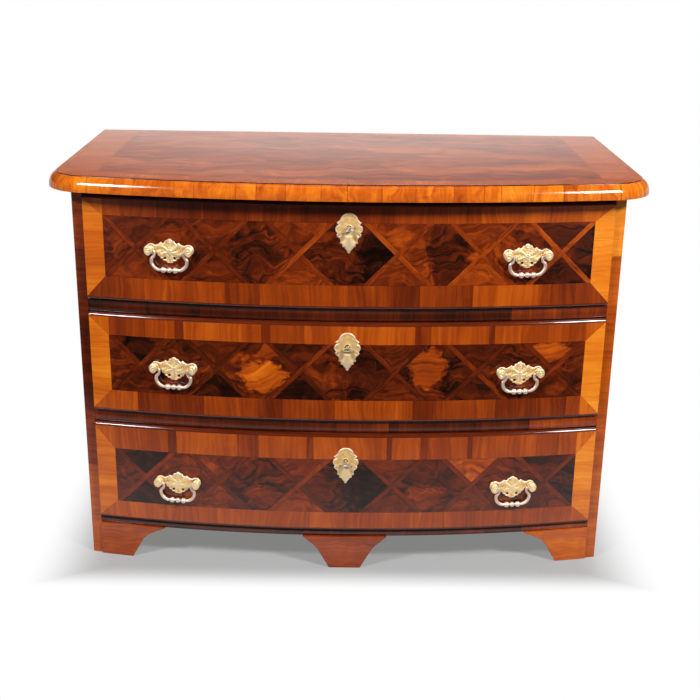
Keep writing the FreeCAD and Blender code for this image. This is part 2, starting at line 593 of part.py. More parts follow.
for index, (low, high) in enumerate(drawer_levels):
    number = str(index + 1)
    lock_z = high - LOCK_DROPS[index]
    handle_z = low + HANDLE_HEIGHTS[index]
    key_place = Vector(0, FACE_Y, lock_z)

    # Front, with a rounded lip along the upper and lower edges
    step = FACE_RADIUS - FRONT_QUIRK
    bend = FRONT_LIP * (1 - math.sqrt(0.5))
    front = bowed_solid([
        (INSIDE_RADIUS, low),
        (step - FRONT_LIP, low),
        (step - bend, low + bend, step, low + FRONT_LIP),
        (FACE_RADIUS, low + FRONT_LIP),
        (FACE_RADIUS, high - FRONT_LIP),
        (step, high - FRONT_LIP),
        (step - bend, high - bend, step - FRONT_LIP, high),
        (INSIDE_RADIUS, high),
    ], DRAWER_HALF, STILE_BACK_Y)

    # Bottom in grooves, back housed in the sides, sides dovetailed into the front
    bottom_z = low + DRAWER_BOTTOM_RISE
    bottom_top = bottom_z + DRAWER_BOTTOM_THICKNESS
    inside_half = DRAWER_HALF - DRAWER_SIDE_THICKNESS
    bottom = box(-inside_half - GROOVE_DEPTH, inside_half + GROOVE_DEPTH, FRONT_Y - REACH,
                 DRAWER_BACK_Y, bottom_z, bottom_top).common(drum(INSIDE_RADIUS + GROOVE_DEPTH, low, high))
    back = box(-inside_half - GROOVE_DEPTH, inside_half + GROOVE_DEPTH, DRAWER_BACK_Y - DRAWER_SIDE_THICKNESS,
               DRAWER_BACK_Y, bottom_top, high - DRAWER_BACK_DROP)
    side_top = high - DRAWER_SIDE_DROP
    blank = box(inside_half, DRAWER_HALF, FRONT_Y - REACH, DRAWER_BACK_Y, low, side_top)
    drawer_side = blank.common(drum(INSIDE_RADIUS, low, side_top))
    root_y = BOW_CENTRE_Y - math.sqrt(INSIDE_RADIUS ** 2 - DRAWER_HALF ** 2)
    tip_y = root_y - DOVETAIL_LENGTH
    overlap = DRAWER_SIDE_THICKNESS / 2
    pitch = (side_top - low) / DOVETAIL_COUNT
    tail_drum = drum(INSIDE_RADIUS + DOVETAIL_LENGTH, low, side_top)
    tails = []
    for tail_index in range(DOVETAIL_COUNT):
        middle = low + (tail_index + 0.5) * pitch
        outer = DOVETAIL_ROOT + DOVETAIL_FLARE
        tail = polygon([
            Vector(inside_half, root_y + overlap, middle - DOVETAIL_ROOT),
            Vector(inside_half, root_y, middle - DOVETAIL_ROOT),
            Vector(inside_half, tip_y - overlap, middle - outer),
            Vector(inside_half, tip_y - overlap, middle + outer),
            Vector(inside_half, root_y, middle + DOVETAIL_ROOT),
            Vector(inside_half, root_y + overlap, middle + DOVETAIL_ROOT),
        ]).extrude(Vector(DRAWER_SIDE_THICKNESS, 0, 0))
        tails.append(tail.common(tail_drum))
    drawer_side = joined(drawer_side, tails).cut([bottom, back])

    # Lock: hollow case let into the front from behind, with the bolt inside it
    case_y0 = FACE_Y + LOCK_FRONT_DEPTH
    case_y1 = FACE_Y + lock_back
    case_top = high - LOCK_TOP_INSET
    case = box(-LOCK_HALF_WIDTH, LOCK_HALF_WIDTH, case_y0, case_y1, lock_z - lock_drop, case_top)
    pocket = case.copy()
    hollow = box(-LOCK_HALF_WIDTH + LOCK_WALL, LOCK_HALF_WIDTH - LOCK_WALL, case_y0 + LOCK_WALL,
                 case_y1 - LOCK_WALL, lock_z - lock_drop + LOCK_WALL, case_top - LOCK_WALL)
    slot = box(-bolt_half - BOLT_CLEARANCE, bolt_half + BOLT_CLEARANCE,
               FACE_Y + bolt_front - BOLT_CLEARANCE, FACE_Y + bolt_back + BOLT_CLEARANCE,
               case_top - 2 * LOCK_WALL, high + LOCK_WALL)
    pin = rod(LOCK_PIN_RADIUS, Vector(0, case_y1 - LOCK_WALL, lock_z),
              Vector(0, case_y1 - LOCK_WALL - LOCK_PIN_LENGTH, lock_z))
    keyhole = keyhole_blank.copy()
    keyhole.translate(key_place)
    nodes["lock_case_" + number] = joined(case.cut([hollow, slot, keyhole]), [pin])
    window = box(-window_left, window_right, case_y0, case_y1, lock_z - window_drop, lock_z + window_top)
    bolt = box(-bolt_half, bolt_half, FACE_Y + bolt_front, FACE_Y + bolt_back,
               lock_z - bolt_drop, high - bolt_top_inset).cut(window)
    bolt.translate(Vector(0, 0, BOLT_THROW * KEY_TURNS[index] / KEY_FULL_TURN))
    nodes["lock_bolt_" + number] = bolt
    key = key_shape(KEY_TURNS[index])
    key.translate(key_place)
    nodes["key_" + number] = key
    escutcheon = escutcheon_blank.copy()
    escutcheon.translate(key_place)
    nodes["escutcheon_" + number] = escutcheon.common(
        shell(FACE_RADIUS, FACE_RADIUS + ESCUTCHEON_THICKNESS, low, high))

    # Handles: plates curved to the face, posts through the front, bails hung between the posts
    plate_drum = drum(FACE_RADIUS + PLATE_THICKNESS, low, high)
    plate_shell = plate_drum.cut(drum(FACE_RADIUS, low, high))
    inside_drum = drum(INSIDE_RADIUS, low, high)
    plates = []
    posts = []
    front_holes = []
    for hand, side in (("left", -1), ("right", 1)):
        plate = at_handle(plate_blank, side, handle_z).common(plate_shell)
        for u in (-POST_SPACING / 2, POST_SPACING / 2):
            neck, head, hole, shank, nut = [at_handle(piece, side, handle_z) for piece in post_pieces(u)]
            drill = rod(SHANK_RADIUS + SHANK_CLEARANCE, Vector(u, -FRONT_THICKNESS, 0),
                        Vector(u, 2 * FRONT_THICKNESS, 0))
            drill = at_handle(drill, side, handle_z)
            plate = plate.cut(drill)
            front_holes.append(drill)
            posts.append(joined(neck.cut(plate_drum), [head, shank]).cut(hole))
            posts.append(nut.common(inside_drum).cut(shank))
        plates.append(plate)
        nodes["bail_" + number + "_" + hand] = at_handle(bail, side, handle_z)
    nodes["handle_plates_" + number] = Part.Compound(plates)
    nodes["handle_posts_" + number] = Part.Compound(posts)

    nodes["drawer_" + number + "_front"] = front.cut(
        [drawer_side, mirrored(drawer_side), bottom, pocket, slot, keyhole] + front_holes)
    nodes["drawer_" + number + "_side_right"] = drawer_side
    nodes["drawer_" + number + "_side_left"] = mirrored(drawer_side)
    nodes["drawer_" + number + "_back"] = back
    nodes["drawer_" + number + "_bottom"] = bottom

os.makedirs("parts", exist_ok=True)
for name, shape in nodes.items():
    shape.exportStep("parts/" + name + ".step")
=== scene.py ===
import math
import random

import bmesh
import bpy
from mathutils import Matrix, Vector


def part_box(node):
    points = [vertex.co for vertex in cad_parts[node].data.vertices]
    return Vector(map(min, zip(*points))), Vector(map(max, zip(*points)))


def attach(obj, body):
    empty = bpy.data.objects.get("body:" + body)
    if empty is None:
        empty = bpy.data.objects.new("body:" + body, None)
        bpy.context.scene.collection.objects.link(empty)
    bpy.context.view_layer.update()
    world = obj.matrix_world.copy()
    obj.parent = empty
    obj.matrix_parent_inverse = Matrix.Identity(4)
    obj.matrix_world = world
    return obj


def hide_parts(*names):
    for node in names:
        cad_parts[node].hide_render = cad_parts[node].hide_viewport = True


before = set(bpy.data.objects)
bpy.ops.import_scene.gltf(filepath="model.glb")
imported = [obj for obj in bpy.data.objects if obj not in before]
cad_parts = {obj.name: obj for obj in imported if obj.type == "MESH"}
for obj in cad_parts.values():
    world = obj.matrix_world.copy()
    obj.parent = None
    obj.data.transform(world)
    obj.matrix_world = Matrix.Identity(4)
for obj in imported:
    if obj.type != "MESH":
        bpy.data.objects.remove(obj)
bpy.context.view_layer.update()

# Carcass boards that do not show from the front: back, bottom, back rail, drawer runners and foot
# blocks, of sawn and hand-planed spruce, housed and glued. Their arrises are eased by plane and wear.

MM = 0.001
SHARP = math.radians(32)
NEARLY_FLAT = math.radians(0.5)
WELD = 0.002 * MM
END_GRAIN = 0.4
ALONG_X = Vector((1, 0, 0))
ALONG_Y = Vector((0, 1, 0))
ALONG_Z = Vector((0, 0, 1))


def linear(code):
    """Linear colour from an sRGB hex code."""
    channels = [int(code[place:place + 2], 16) / 255 for place in (0, 2, 4)]
    return [c / 12.92 if c <= 0.04045 else ((c + 0.055) / 1.055) ** 2.4 for c in channels] + [1.0]


def add(tree, kind, inputs=None, stops=(), **settings):
    """Adds a shader node: an input given as a socket is linked, any other is its value."""
    node = tree.nodes.new("ShaderNode" + kind)
    for name, value in settings.items():
        setattr(node, name, value)
    for name, value in (inputs or {}).items():
        if isinstance(value, bpy.types.NodeSocket):
            tree.links.new(value, node.inputs[name])
        else:
            node.inputs[name].default_value = value
    for index, (place, code) in enumerate(stops):
        ramp = node.color_ramp.elements
        stop = ramp[index] if index < 2 else ramp.new(place)
        stop.position = place
        stop.color = linear(code)
    return node


def maths(tree, operation, *values, kind="Math"):
    """Result of a Math or VectorMath node on values in order."""
    return add(tree, kind, dict(enumerate(values)), operation=operation).outputs[0]


def ranged(tree, value, start, end, low=0.0, high=1.0, **settings):
    """Value carried from the range start to end over to the range low to high."""
    ends = {"From Min": start, "From Max": end, "To Min": low, "To Max": high}
    return add(tree, "MapRange", {"Value": value, **ends}, **settings).outputs[0]


def noise(tree, place, length, width=None, detail=2.0, roughness=0.5, distortion=0.0, output="Fac"):
    """Noise with grains of a length and width in millimetres, or round ones if no width is given."""
    scale = 1 / (length * MM)
    if width:
        stretch = (scale, 1 / (width * MM), 1.0)
        place = add(tree, "Mapping", {"Vector": place, "Scale": stretch}).outputs[0]
        scale = 1.0
    return add(tree, "TexNoise", {"Vector": place, "Scale": scale, "Detail": detail, "Roughness": roughness,
                                  "Distortion": distortion}).outputs[output]


def new_material(name):
    """Material without nodes, returned with its node tree."""
    material = bpy.data.materials.new(name)
    material.use_nodes = True
    material.node_tree.nodes.clear()
    return material, material.node_tree


def surface(tree, value, stops, inputs):
    """Ends a material with its shader, which a value tints along a colour ramp."""
    tint = add(tree, "ValToRGB", {"Fac": value}, stops=stops).outputs["Color"]
    shader = add(tree, "BsdfPrincipled", {"Base Color": tint, **inputs})
    add(tree, "OutputMaterial", {"Surface": shader.outputs["BSDF"]})


def copy_of(node, arris, glued=None):
    """Merged copy of a CAD node's mesh, its sharp edges rounded over but for those glued to a neighbour."""
    shape = bmesh.new()
    shape.from_mesh(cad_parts[node].data)
    bmesh.ops.remove_doubles(shape, verts=shape.verts, dist=WELD)
    bmesh.ops.dissolve_limit(shape, angle_limit=NEARLY_FLAT, verts=shape.verts, edges=shape.edges)
    edges = [edge for edge in shape.edges if edge.is_manifold and edge.calc_face_angle() > SHARP
             and not (glued and glued(edge))]
    bmesh.ops.bevel(shape, geom=edges, offset=arris * MM, affect="EDGES", segments=2, profile=0.5,
                    material=-1, clamp_overlap=True)
    shape.normal_update()
    return shape


def lay_grain(shape, faces, along, tone, figure=0.0, shift=0.0, scale=1.0):
    """Maps the grain on faces, in metres along and across it, with the tone and figure of their leaf."""
    grain = shape.loops.layers.uv.get("grain") or shape.loops.layers.uv.new("grain")
    leaf = shape.loops.layers.float_color.get("leaf") or shape.loops.layers.float_color.new("leaf")
    for face in faces:
        across = face.normal.cross(along)
        lengthwise = along
        if across.length < END_GRAIN:
            across = along.orthogonal()
            lengthwise = face.normal.cross(across)
        across.normalize()
        for loop in face.loops:
            place = loop.vert.co
            loop[grain].uv = (scale * place.dot(lengthwise) + shift, scale * place.dot(across) + shift)
            loop[leaf] = (tone, figure, 0.0, 1.0)


def add_piece(name, shape, finishes, body, slot, *stands_for):
    """Makes a shape an object that is smooth but for its arrises, and rides on a body."""
    for edge in shape.edges:
        edge.smooth = edge.is_manifold and edge.calc_face_angle() < SHARP
    for face in shape.faces:
        face.smooth = True
    mesh = bpy.data.meshes.new(name)
    shape.to_mesh(mesh)
    shape.free()
    for finish in finishes:
        mesh.materials.append(finish)
    piece = bpy.data.objects.new(name, mesh)
    bpy.context.scene.collection.objects.link(piece)
    evened = piece.modifiers.new("even shading", "WEIGHTED_NORMAL")
    evened.keep_sharp = True
    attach(piece, body)
    if stands_for:
        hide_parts(*stands_for)


def add_board(node, ending, arris, along, finish, body, slot, tone=0.5, figure=0.0):
    """Board as the CAD has it but for its eased arrises, with its grain along one axis."""
    shape = copy_of(node, arris)
    lay_grain(shape, shape.faces, along, tone, figure, shift=random.Random(node).uniform(1, 9))
    add_piece(node + ending, shape, [finish], body, slot, node)


# Old spruce, planed and left bare: straw-coloured, with rings about 4 mm apart and a grey-brown bloom
# of age; matt, with only the late wood a little smoother.
RING_WIDTH = 4.0
FIBRE_WIDTH = 1.0
spruce, tree = new_material("bare spruce")
grain = add(tree, "UVMap", uv_map="grain").outputs["UV"]
rings = noise(tree, grain, 900.0, 2 * RING_WIDTH, detail=3.0, roughness=0.6)
fibre = noise(tree, grain, 40.0, FIBRE_WIDTH)
bloom = noise(tree, grain, 180.0, detail=3.0)
value = maths(tree, "MULTIPLY_ADD", fibre, 0.25, rings)
value = maths(tree, "MULTIPLY_ADD", bloom, 0.45, value)
dents = add(tree, "Bump", {"Height": fibre, "Strength": 0.25, "Distance": 0.3 * MM})
surface(tree, value, [(0.45, "74502E"), (0.95, "CBA170"), (0.7, "A57A4C"), (0.82, "B88D5C")],
        {"Roughness": ranged(tree, rings, 0.0, 1.0, 0.55, 0.75), "Normal": dents.outputs[0],
         "Specular IOR Level": 0.25})

for node, along in (("back_rail", ALONG_X), ("bottom_board", ALONG_X), ("runners_upper", ALONG_Y),
                    ("runners_lower", ALONG_Y), ("foot_blocks", ALONG_Z)):
    add_board(node, "_planed", 1.0, along, spruce, "carcass", "spruce")


def cut(shape, point, normal, inside=None):
    """Cuts along a plane, as a saw or veneer knife does, all faces or those whose middle passes a test."""
    faces = [face for face in shape.faces if not inside or inside(face.calc_center_median())]
    parts = {part for face in faces for part in (face, *face.edges, *face.verts)}
    bmesh.ops.bisect_plane(shape, geom=list(parts), dist=0.001 * MM, plane_co=point, plane_no=normal)


def faces_between(shape, axis, low, high):
    """Faces whose middle lies between two places along an axis."""
    return [face for face in shape.faces if low < face.calc_center_median().dot(axis) < high]


BACK_BOARDS = 3
JOINT_OPEN = 2.5 * MM
AT_JOINT = 0.2 * MM
back_low, back_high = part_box("back_panel")
board_height = (back_high[2] - back_low[2]) / BACK_BOARDS
board_levels = [back_low[2] + index * board_height for index in range(BACK_BOARDS)]
shape = copy_of("back_panel", 1.0)
for low in board_levels:
    for height in (low + JOINT_OPEN, low + board_height - JOINT_OPEN):
        cut(shape, (0, 0, height), ALONG_Z)
for joint in board_levels[1:]:
    groove = [vert for vert in shape.verts
              if abs(vert.co.z - joint) < AT_JOINT and vert.co.y > back_high[1] - AT_JOINT]
    bmesh.ops.translate(shape, verts=groove, vec=(0, -JOINT_OPEN, 0))
shape.normal_update()
for index, low in enumerate(board_levels):
    lay_grain(shape, faces_between(shape, ALONG_Z, low, low + board_height), ALONG_X, 0.5, shift=3.7 * index)
add_piece("back_panel_planed", shape, [spruce], "carcass", "spruce", "back_panel")

# Stiles and sides, veneered in walnut: short cross-grained lengths on the stiles, and on each side a
# crossbanded border round two book-matched leaves. The leaves are glued down and French polished.

# Figured walnut veneer under shellac: near-black brown heartwood, red-brown wood and golden sapwood, in
# streaks 7 mm wide with fibres of about 1 mm, and where the figure is wild curls of 60 mm, a burr mottle
# of 40 mm, dark ring lines and thin black veins. The polish is clear and smooth, and waves by hand.
STREAK_WIDTH = 7.0
CURL_SIZE = 60.0
LEAST_CURL = 6.0
MOTTLE_SIZE = 40.0
ARC_WIDTH = 18.0
POLISH_WAVE = 150.0
walnut, tree = new_material("French-polished figured walnut veneer")
grain = add(tree, "UVMap", uv_map="grain").outputs["UV"]
patch = add(tree, "UVMap", uv_map="patch").outputs["UV"]
leaf = add(tree, "VertexColor", layer_name="leaf")
tone, figure, flame = add(tree, "SeparateColor", {"Color": leaf.outputs["Color"]}).outputs[:3]

# Patches of sapwood or heartwood: a ragged edge one unit from the patch's middle, and a dark rim
ragged = add(tree, "TexNoise", {"Vector": patch, "Scale": 1.0, "Detail": 4.0, "Roughness": 0.68})
ragged = maths(tree, "SUBTRACT", ragged.outputs["Color"], (0.5, 0.5, 0.5), kind="VectorMath")
ragged = maths(tree, "MULTIPLY_ADD", ragged, (1.7, 1.7, 0.0), patch, kind="VectorMath")
ragged = maths(tree, "MULTIPLY", ragged, (1.0, 1.0, 0.0), kind="VectorMath")
edge = add(tree, "VectorMath", {0: ragged}, operation="LENGTH").outputs["Value"]
inside = ranged(tree, edge, 1.06, 0.82, interpolation_type="SMOOTHSTEP")
inside = maths(tree, "MULTIPLY", inside, flame)
rim = maths(tree, "MULTIPLY", ranged(tree, edge, 1.3, 1.0), flame)
rim = maths(tree, "MAXIMUM", rim, 0.0)
figure = maths(tree, "MULTIPLY", figure, ranged(tree, inside, 0.0, 1.0, 1.0, 0.35))

# Grain that curls with the figure
curl = noise(tree, grain, CURL_SIZE, roughness=0.45, output="Color")
curl = maths(tree, "SUBTRACT", curl, (0.5, 0.5, 0.5), kind="VectorMath")
reach = maths(tree, "MULTIPLY_ADD", figure, 2 * CURL_SIZE * MM, LEAST_CURL * MM)
curl = add(tree, "VectorMath", {0: curl, "Scale": reach}, operation="SCALE").outputs[0]
curled = maths(tree, "ADD", grain, curl, kind="VectorMath")
streak = noise(tree, curled, 400.0, STREAK_WIDTH, detail=4.0, roughness=0.6)
fibre = noise(tree, curled, 25.0, FIBRE_WIDTH)
broad = noise(tree, curled, 250.0, 45.0)
arcs = add(tree, "TexWave", {"Vector": curled, "Scale": 0.314 / (ARC_WIDTH * MM), "Distortion": 2.5,
                             "Detail": 2.0, "Detail Scale": 1.5}, bands_direction="Y", wave_profile="SAW")
mottle = noise(tree, curled, MOTTLE_SIZE, detail=4.0, roughness=0.62, distortion=0.8)


def figured(value):
    """A value as strong as the figure of its leaf is wild."""
    return maths(tree, "MULTIPLY", value, figure)


def lines_at(value, level, outer, inner):
    """Thin lines where a noise passes a level."""
    away = maths(tree, "ABSOLUTE", maths(tree, "SUBTRACT", value, level))
    return figured(ranged(tree, away, outer, inner))


arcs = figured(maths(tree, "SUBTRACT", arcs.outputs["Fac"], 0.5))
burr = figured(maths(tree, "SUBTRACT", mottle, 0.5))
veins = lines_at(streak, 0.47, 0.02, 0.0)
ring_lines = lines_at(broad, 0.5, 0.045, 0.005)
value = maths(tree, "MULTIPLY_ADD", streak, ranged(tree, figure, 0.0, 1.0, 0.26, 0.15), tone)
for part, weight in ((fibre, 0.06), (broad, 0.24), (arcs, 0.06), (burr, 0.62), (veins, -0.07),
                     (ring_lines, -0.13)):
    value = maths(tree, "MULTIPLY_ADD", part, weight, value)
value = maths(tree, "SUBTRACT", value, 0.25)
value = maths(tree, "MULTIPLY_ADD", rim, -0.07, value)
value = maths(tree, "MULTIPLY_ADD", inside, ranged(tree, streak, 0.3, 0.7, 0.18, 0.30), value)
waves = noise(tree, grain, POLISH_WAVE, detail=1.0)
waves = add(tree, "Bump", {"Height": waves, "Strength": 1.0, "Distance": 0.4 * MM}).outputs[0]
dents = add(tree, "Bump", {"Height": fibre, "Strength": 0.08, "Distance": 0.1 * MM, "Normal": waves})
surface(tree, value, [(0.0, "110604"), (1.0, "EFAE58"), (0.12, "250E07"), (0.25, "471808"), (0.36, "66240A"),
                      (0.48, "8E390C"), (0.60, "B4540F"), (0.72, "D27317"), (0.85, "E4922E")],
        {"Roughness": ranged(tree, broad, 0.0, 1.0, 0.10, 0.13), "Normal": dents.outputs[0],
         "Specular IOR Level": 0.5})


def add_veneered(node, shape, slot="walnut_carcass"):
    """Piece of the carcass that is veneered in walnut."""
    add_piece(node + "_veneered", shape, [walnut], "carcass", slot, node)


HANDS = (("left", -1), ("right", 1))
STILE_JOINTS = (0.076, 0.215, 0.345, 0.48, 0.585, 0.70, 0.79)
STILE_TONES = {"left": (0.54, 0.50, 0.38, 0.25, 0.25, 0.29, 0.36, 0.40),
               "right": (0.53, 0.55, 0.51, 0.52, 0.50, 0.53, 0.70, 0.74)}
for hand, side in HANDS:
    shape = copy_of("stile_" + hand, 0.8)
    for height in STILE_JOINTS:
        cut(shape, (0, 0, height), ALONG_Z)
    ends = (0.0, *STILE_JOINTS, 1.0)
    for index, tone in enumerate(STILE_TONES[hand]):
        length = faces_between(shape, ALONG_Z, *ends[index:index + 2])
        lay_grain(shape, length, ALONG_X, tone, 0.1, shift=index * 3.1 + side)
    add_veneered("stile_" + hand, shape)

SIDE_FACE = 0.5629
FIELD_FRONT, FIELD_BACK, FIELD_LOW, FIELD_HIGH = -0.105, 0.245, 0.150, 0.770
FIELD_MIDDLE = (FIELD_FRONT + FIELD_BACK) / 2


def on_side_face(middle):
    """True for a point on the outer face of a side."""
    return abs(middle.x) > SIDE_FACE


for hand, side in HANDS:
    shape = copy_of("side_" + hand, 0.8)
    for place in (FIELD_FRONT, FIELD_BACK):
        cut(shape, (0, place, 0), ALONG_Y, on_side_face)
    for place in (FIELD_LOW, FIELD_HIGH):
        cut(shape, (0, 0, place), ALONG_Z, on_side_face)
    cut(shape, (0, FIELD_MIDDLE, 0), ALONG_Y, on_side_face)
    shape.normal_update()
    lay_grain(shape, shape.faces, ALONG_Z, 0.40, 0.1)
    grain = shape.loops.layers.uv.get("grain")
    for face in shape.faces:
        middle = face.calc_center_median()
        if not on_side_face(middle):
            continue
        if not FIELD_LOW < middle.z < FIELD_HIGH:
            lay_grain(shape, [face], ALONG_Z, 0.52, 0.05, shift=5.0)
        elif not FIELD_FRONT < middle.y < FIELD_BACK:
            lay_grain(shape, [face], ALONG_Y, 0.56, 0.05, shift=1.0)
        else:
            lay_grain(shape, [face], ALONG_Z, 0.36, 0.55)
            for loop in face.loops:
                loop[grain].uv = (loop.vert.co.z, abs(loop.vert.co.y - FIELD_MIDDLE) + 4.0 + side)
    add_veneered("side_" + hand, shape)

# Rails between the drawers, tenoned into the stiles, with a half-round face of short cross-grained
# walnut lengths, mostly dark heartwood and paler towards the right end. The top rail is darker still,
# with painted shade under the overhanging top.

RAIL_STEP = 0.075
RAIL_END = 0.541
PALE_FROM = 0.32
# The top rail's tones are lowered as painted shade from the overhanging top.
RAIL_TONES = {"top_rail": (0.14, 0.22), "divider_rail_upper": (0.15, 0.24),
              "divider_rail_lower": (0.22, 0.32), "bottom_rail": (0.18, 0.26)}
for node, (darkest, palest) in RAIL_TONES.items():
    shape = copy_of(node, 0.6)
    chooser = random.Random(node)
    joint = -RAIL_END
    while joint < RAIL_END:
        length = RAIL_STEP * chooser.uniform(0.5, 1.6)
        tone = chooser.uniform(darkest, palest) + (0.16 if joint > PALE_FROM else 0.0)
        cut(shape, (joint + length, 0, 0), ALONG_X)
        faces = faces_between(shape, ALONG_X, joint, joint + length)
        lay_grain(shape, faces, ALONG_Z, tone, 0.1, shift=chooser.uniform(1, 9))
        joint += length
    tenons = [face for face in shape.faces if abs(face.calc_center_median().x) > RAIL_END]
    lay_grain(shape, tenons, ALONG_X, 0.3)
    add_veneered(node, shape)

# Bracket feet along the front, sawn to an ogee from 20 mm walnut and glued under the bottom rail.

for node, tone in (("foot_left", 0.50), ("foot_centre", 0.42), ("foot_right", 0.58)):
    add_board(node, "_sawn", 1.0, ALONG_X, walnut, "carcass", "walnut_carcass", tone, 0.25)

# Top: a board veneered with one boldly figured leaf inside a crossbanded border, and a thick moulding
# glued round its front and sides, cut across the grain from golden sapwood in short lengths.

FRONT_BORDER = 30.0 * MM
FIELD_END = 0.512
TOP_FACE = 0.857
GLUE_LEVEL, GLUE_HALF_WIDTH, GLUE_BACK = 0.8575, 0.5845, 0.31


def glued_joint(edge):
    """True for an upper edge of the board or moulding where the two are glued together."""
    middle = (edge.verts[0].co + edge.verts[1].co) / 2
    upright = [face for face in edge.link_faces if abs(face.normal.z) < 0.1]
    within = abs(middle.x) < GLUE_HALF_WIDTH and middle.y < GLUE_BACK
    return middle.z > GLUE_LEVEL and len(upright) == 1 and within


shape = copy_of("top_board", 0.3, glued_joint)
upper = [face for face in shape.faces if face.normal.z > 0.9 and face.calc_center_median().z > TOP_FACE]
field = max(upper, key=lambda face: face.calc_area())
bmesh.ops.inset_region(shape, faces=[field], thickness=FRONT_BORDER, use_even_offset=True)
field.material_index = 1
for side in (-1, 1):
    cut(shape, (side * FIELD_END, 0, 0), ALONG_X, lambda middle: middle.z > TOP_FACE)
shape.normal_update()
lay_grain(shape, shape.faces, ALONG_X, 0.46, 0.1)
for face in shape.faces:
    middle = face.calc_center_median()
    if face.normal.z < 0.9 or middle.z < TOP_FACE:
        continue
    if abs(middle.x) > FIELD_END:
        lay_grain(shape, [face], ALONG_X, 0.54, 0.1, shift=3.0)
    elif face.material_index:
        lay_grain(shape, [face], ALONG_X, 0.51, 0.55, shift=7.0, scale=0.5)
    else:
        lay_grain(shape, [face], ALONG_Y, 0.53, 0.1, shift=3.0, scale=0.4)
    face.material_index = 0
add_veneered("top_board", shape, "walnut_top")

MOULDING_STEP = 0.055
MOULDING_SEAM = 0.001
QUIRK_LEVEL = 0.8564
GOLDEN_FROM = 0.2
for node in ("top_moulding_front", "top_moulding_left", "top_moulding_right"):
    shape = copy_of(node, 0.4, glued_joint)
    chooser = random.Random(node)
    front = node.endswith("front")
    axis, across, end = (ALONG_X, ALONG_Y, 0.62) if front else (ALONG_Y, ALONG_X, 0.33)
    joint = -end
    while joint < end:
        length = MOULDING_STEP * chooser.uniform(0.3, 1.8)
        cut(shape, axis * (joint + length), axis)
        faces = faces_between(shape, axis, joint, joint + length)
        shape.normal_update()
        tone = 0.53 if length < 0.5 * MOULDING_STEP else chooser.uniform(0.59, 0.67)
        tone += 0.05 if front and joint > GOLDEN_FROM else 0.0
        lay_grain(shape, faces, ALONG_Z, tone, 0.5, shift=chooser.uniform(1, 9))
        flat = [face for face in faces if abs(face.normal.z) > 0.9]
        lay_grain(shape, flat, across, 0.53, 0.1, shift=chooser.uniform(1, 9), scale=0.4)
        # The quirk's faces are painted black: painted shade in the recess between the top and its moulding.
        shaded_quirk = [face for face in faces if face.calc_center_median().z > QUIRK_LEVEL and face.normal.z < 0.97]
        lay_grain(shape, shaded_quirk, ALONG_Z, 0.0)
        joint += length
        cut(shape, axis * (joint + MOULDING_SEAM), axis)
        lay_grain(shape, faces_between(shape, axis, joint, joint + MOULDING_SEAM), ALONG_Z, 0.42, 0.5)
        joint += MOULDING_SEAM
    add_veneered(node, shape, "walnut_top")

# Drawer boxes: spruce sides dovetailed to the front and back, and a bottom let into a groove. The front
# is a spruce core with a rounded walnut lip glued along its upper and lower edges.

BOW_CENTRE_Y = 2483.2413793 * MM
FACE_RADIUS = 2769.4913793 * MM
FRONT_LIP = 6.0 * MM
LIP_OUTER = 6.3 * MM
LIP_INNER = 5.0 * MM
LIP_END = 539.3 * MM
LIP_FACETS = 8
SWEEP_STEPS = 44
END_FACE = 0.538
END_BAND_Y = -224.0 * MM
DRAWER_LEVELS = ((0.597, 0.816), (0.349, 0.567), (0.094, 0.320))
lip_turns = [step * math.pi / 2 / LIP_FACETS for step in range(LIP_FACETS + 1)]
lip_section = [(LIP_OUTER, turn) for turn in lip_turns] + [(LIP_INNER, turn) for turn in reversed(lip_turns)]
lip_start = -math.asin(LIP_END / FACE_RADIUS)


def on_bow(radius, angle, z):
    """Point at a radius and an angle about the centre of the front's bow."""
    return radius * math.sin(angle), BOW_CENTRE_Y - radius * math.cos(angle), z


for number, (low, high) in zip("123", DRAWER_LEVELS):
    body = "drawer_" + number
    for part, along in (("_side_left", ALONG_Y), ("_side_right", ALONG_Y), ("_back", ALONG_X),
                        ("_bottom", ALONG_X)):
        add_board(body + part, "_planed", 0.8, along, spruce, body, "spruce")
    shape = copy_of(body + "_front", 0.3)
    cut(shape, (0, END_BAND_Y, 0), ALONG_Y, lambda middle: abs(middle.x) > END_FACE)
    lay_grain(shape, shape.faces, ALONG_X, 0.5, shift=float(number))
    faced = []
    for face in shape.faces:
        middle = face.calc_center_median()
        radius = math.hypot(middle.x, middle.y - BOW_CENTRE_Y)
        at_edge = not low + FRONT_LIP < middle.z < high - FRONT_LIP
        lip = at_edge and radius > FACE_RADIUS - 1.3 * FRONT_LIP
        end = abs(middle.x) > END_FACE and middle.y < END_BAND_Y
        if lip or end or abs(face.normal.z) > 0.9:
            faced.append(face)
            face.material_index = 1
    lay_grain(shape, faced, ALONG_X, 0.26, 0.1, shift=float(number))
    add_piece(body + "_front_core", shape, [spruce, walnut], body, "walnut_marquetry", body + "_front")
    shape = bmesh.new()
    for level, rise in ((low + FRONT_LIP, -1), (high - FRONT_LIP, 1)):
        verts = []
        for reach, turn in lip_section:
            radius = FACE_RADIUS - FRONT_LIP + reach * math.cos(turn)
            verts.append(shape.verts.new(on_bow(radius, lip_start, level + rise * reach * math.sin(turn))))
        edges = [shape.edges.new(pair) for pair in zip(verts, verts[1:] + verts[:1])]
        bmesh.ops.spin(shape, geom=verts + edges, cent=(0, BOW_CENTRE_Y, 0), axis=(0, 0, 1),
                       angle=-2 * lip_start, steps=SWEEP_STEPS)
    bmesh.ops.holes_fill(shape, edges=shape.edges, sides=len(lip_section))
    bmesh.ops.recalc_face_normals(shape, faces=shape.faces)
    shape.normal_update()
    lay_grain(shape, shape.faces, ALONG_X, 0.26, 0.1, shift=float(number))
    add_piece(body + "_front_lips", shape, [walnut], body, "walnut_marquetry")

# Marquetry of the drawer fronts: a crossbanded frame in short lengths with mitred corners round a panel
# of lozenges and triangles, parted by strips that cross six times. Each leaf is sawn, fitted and glued.

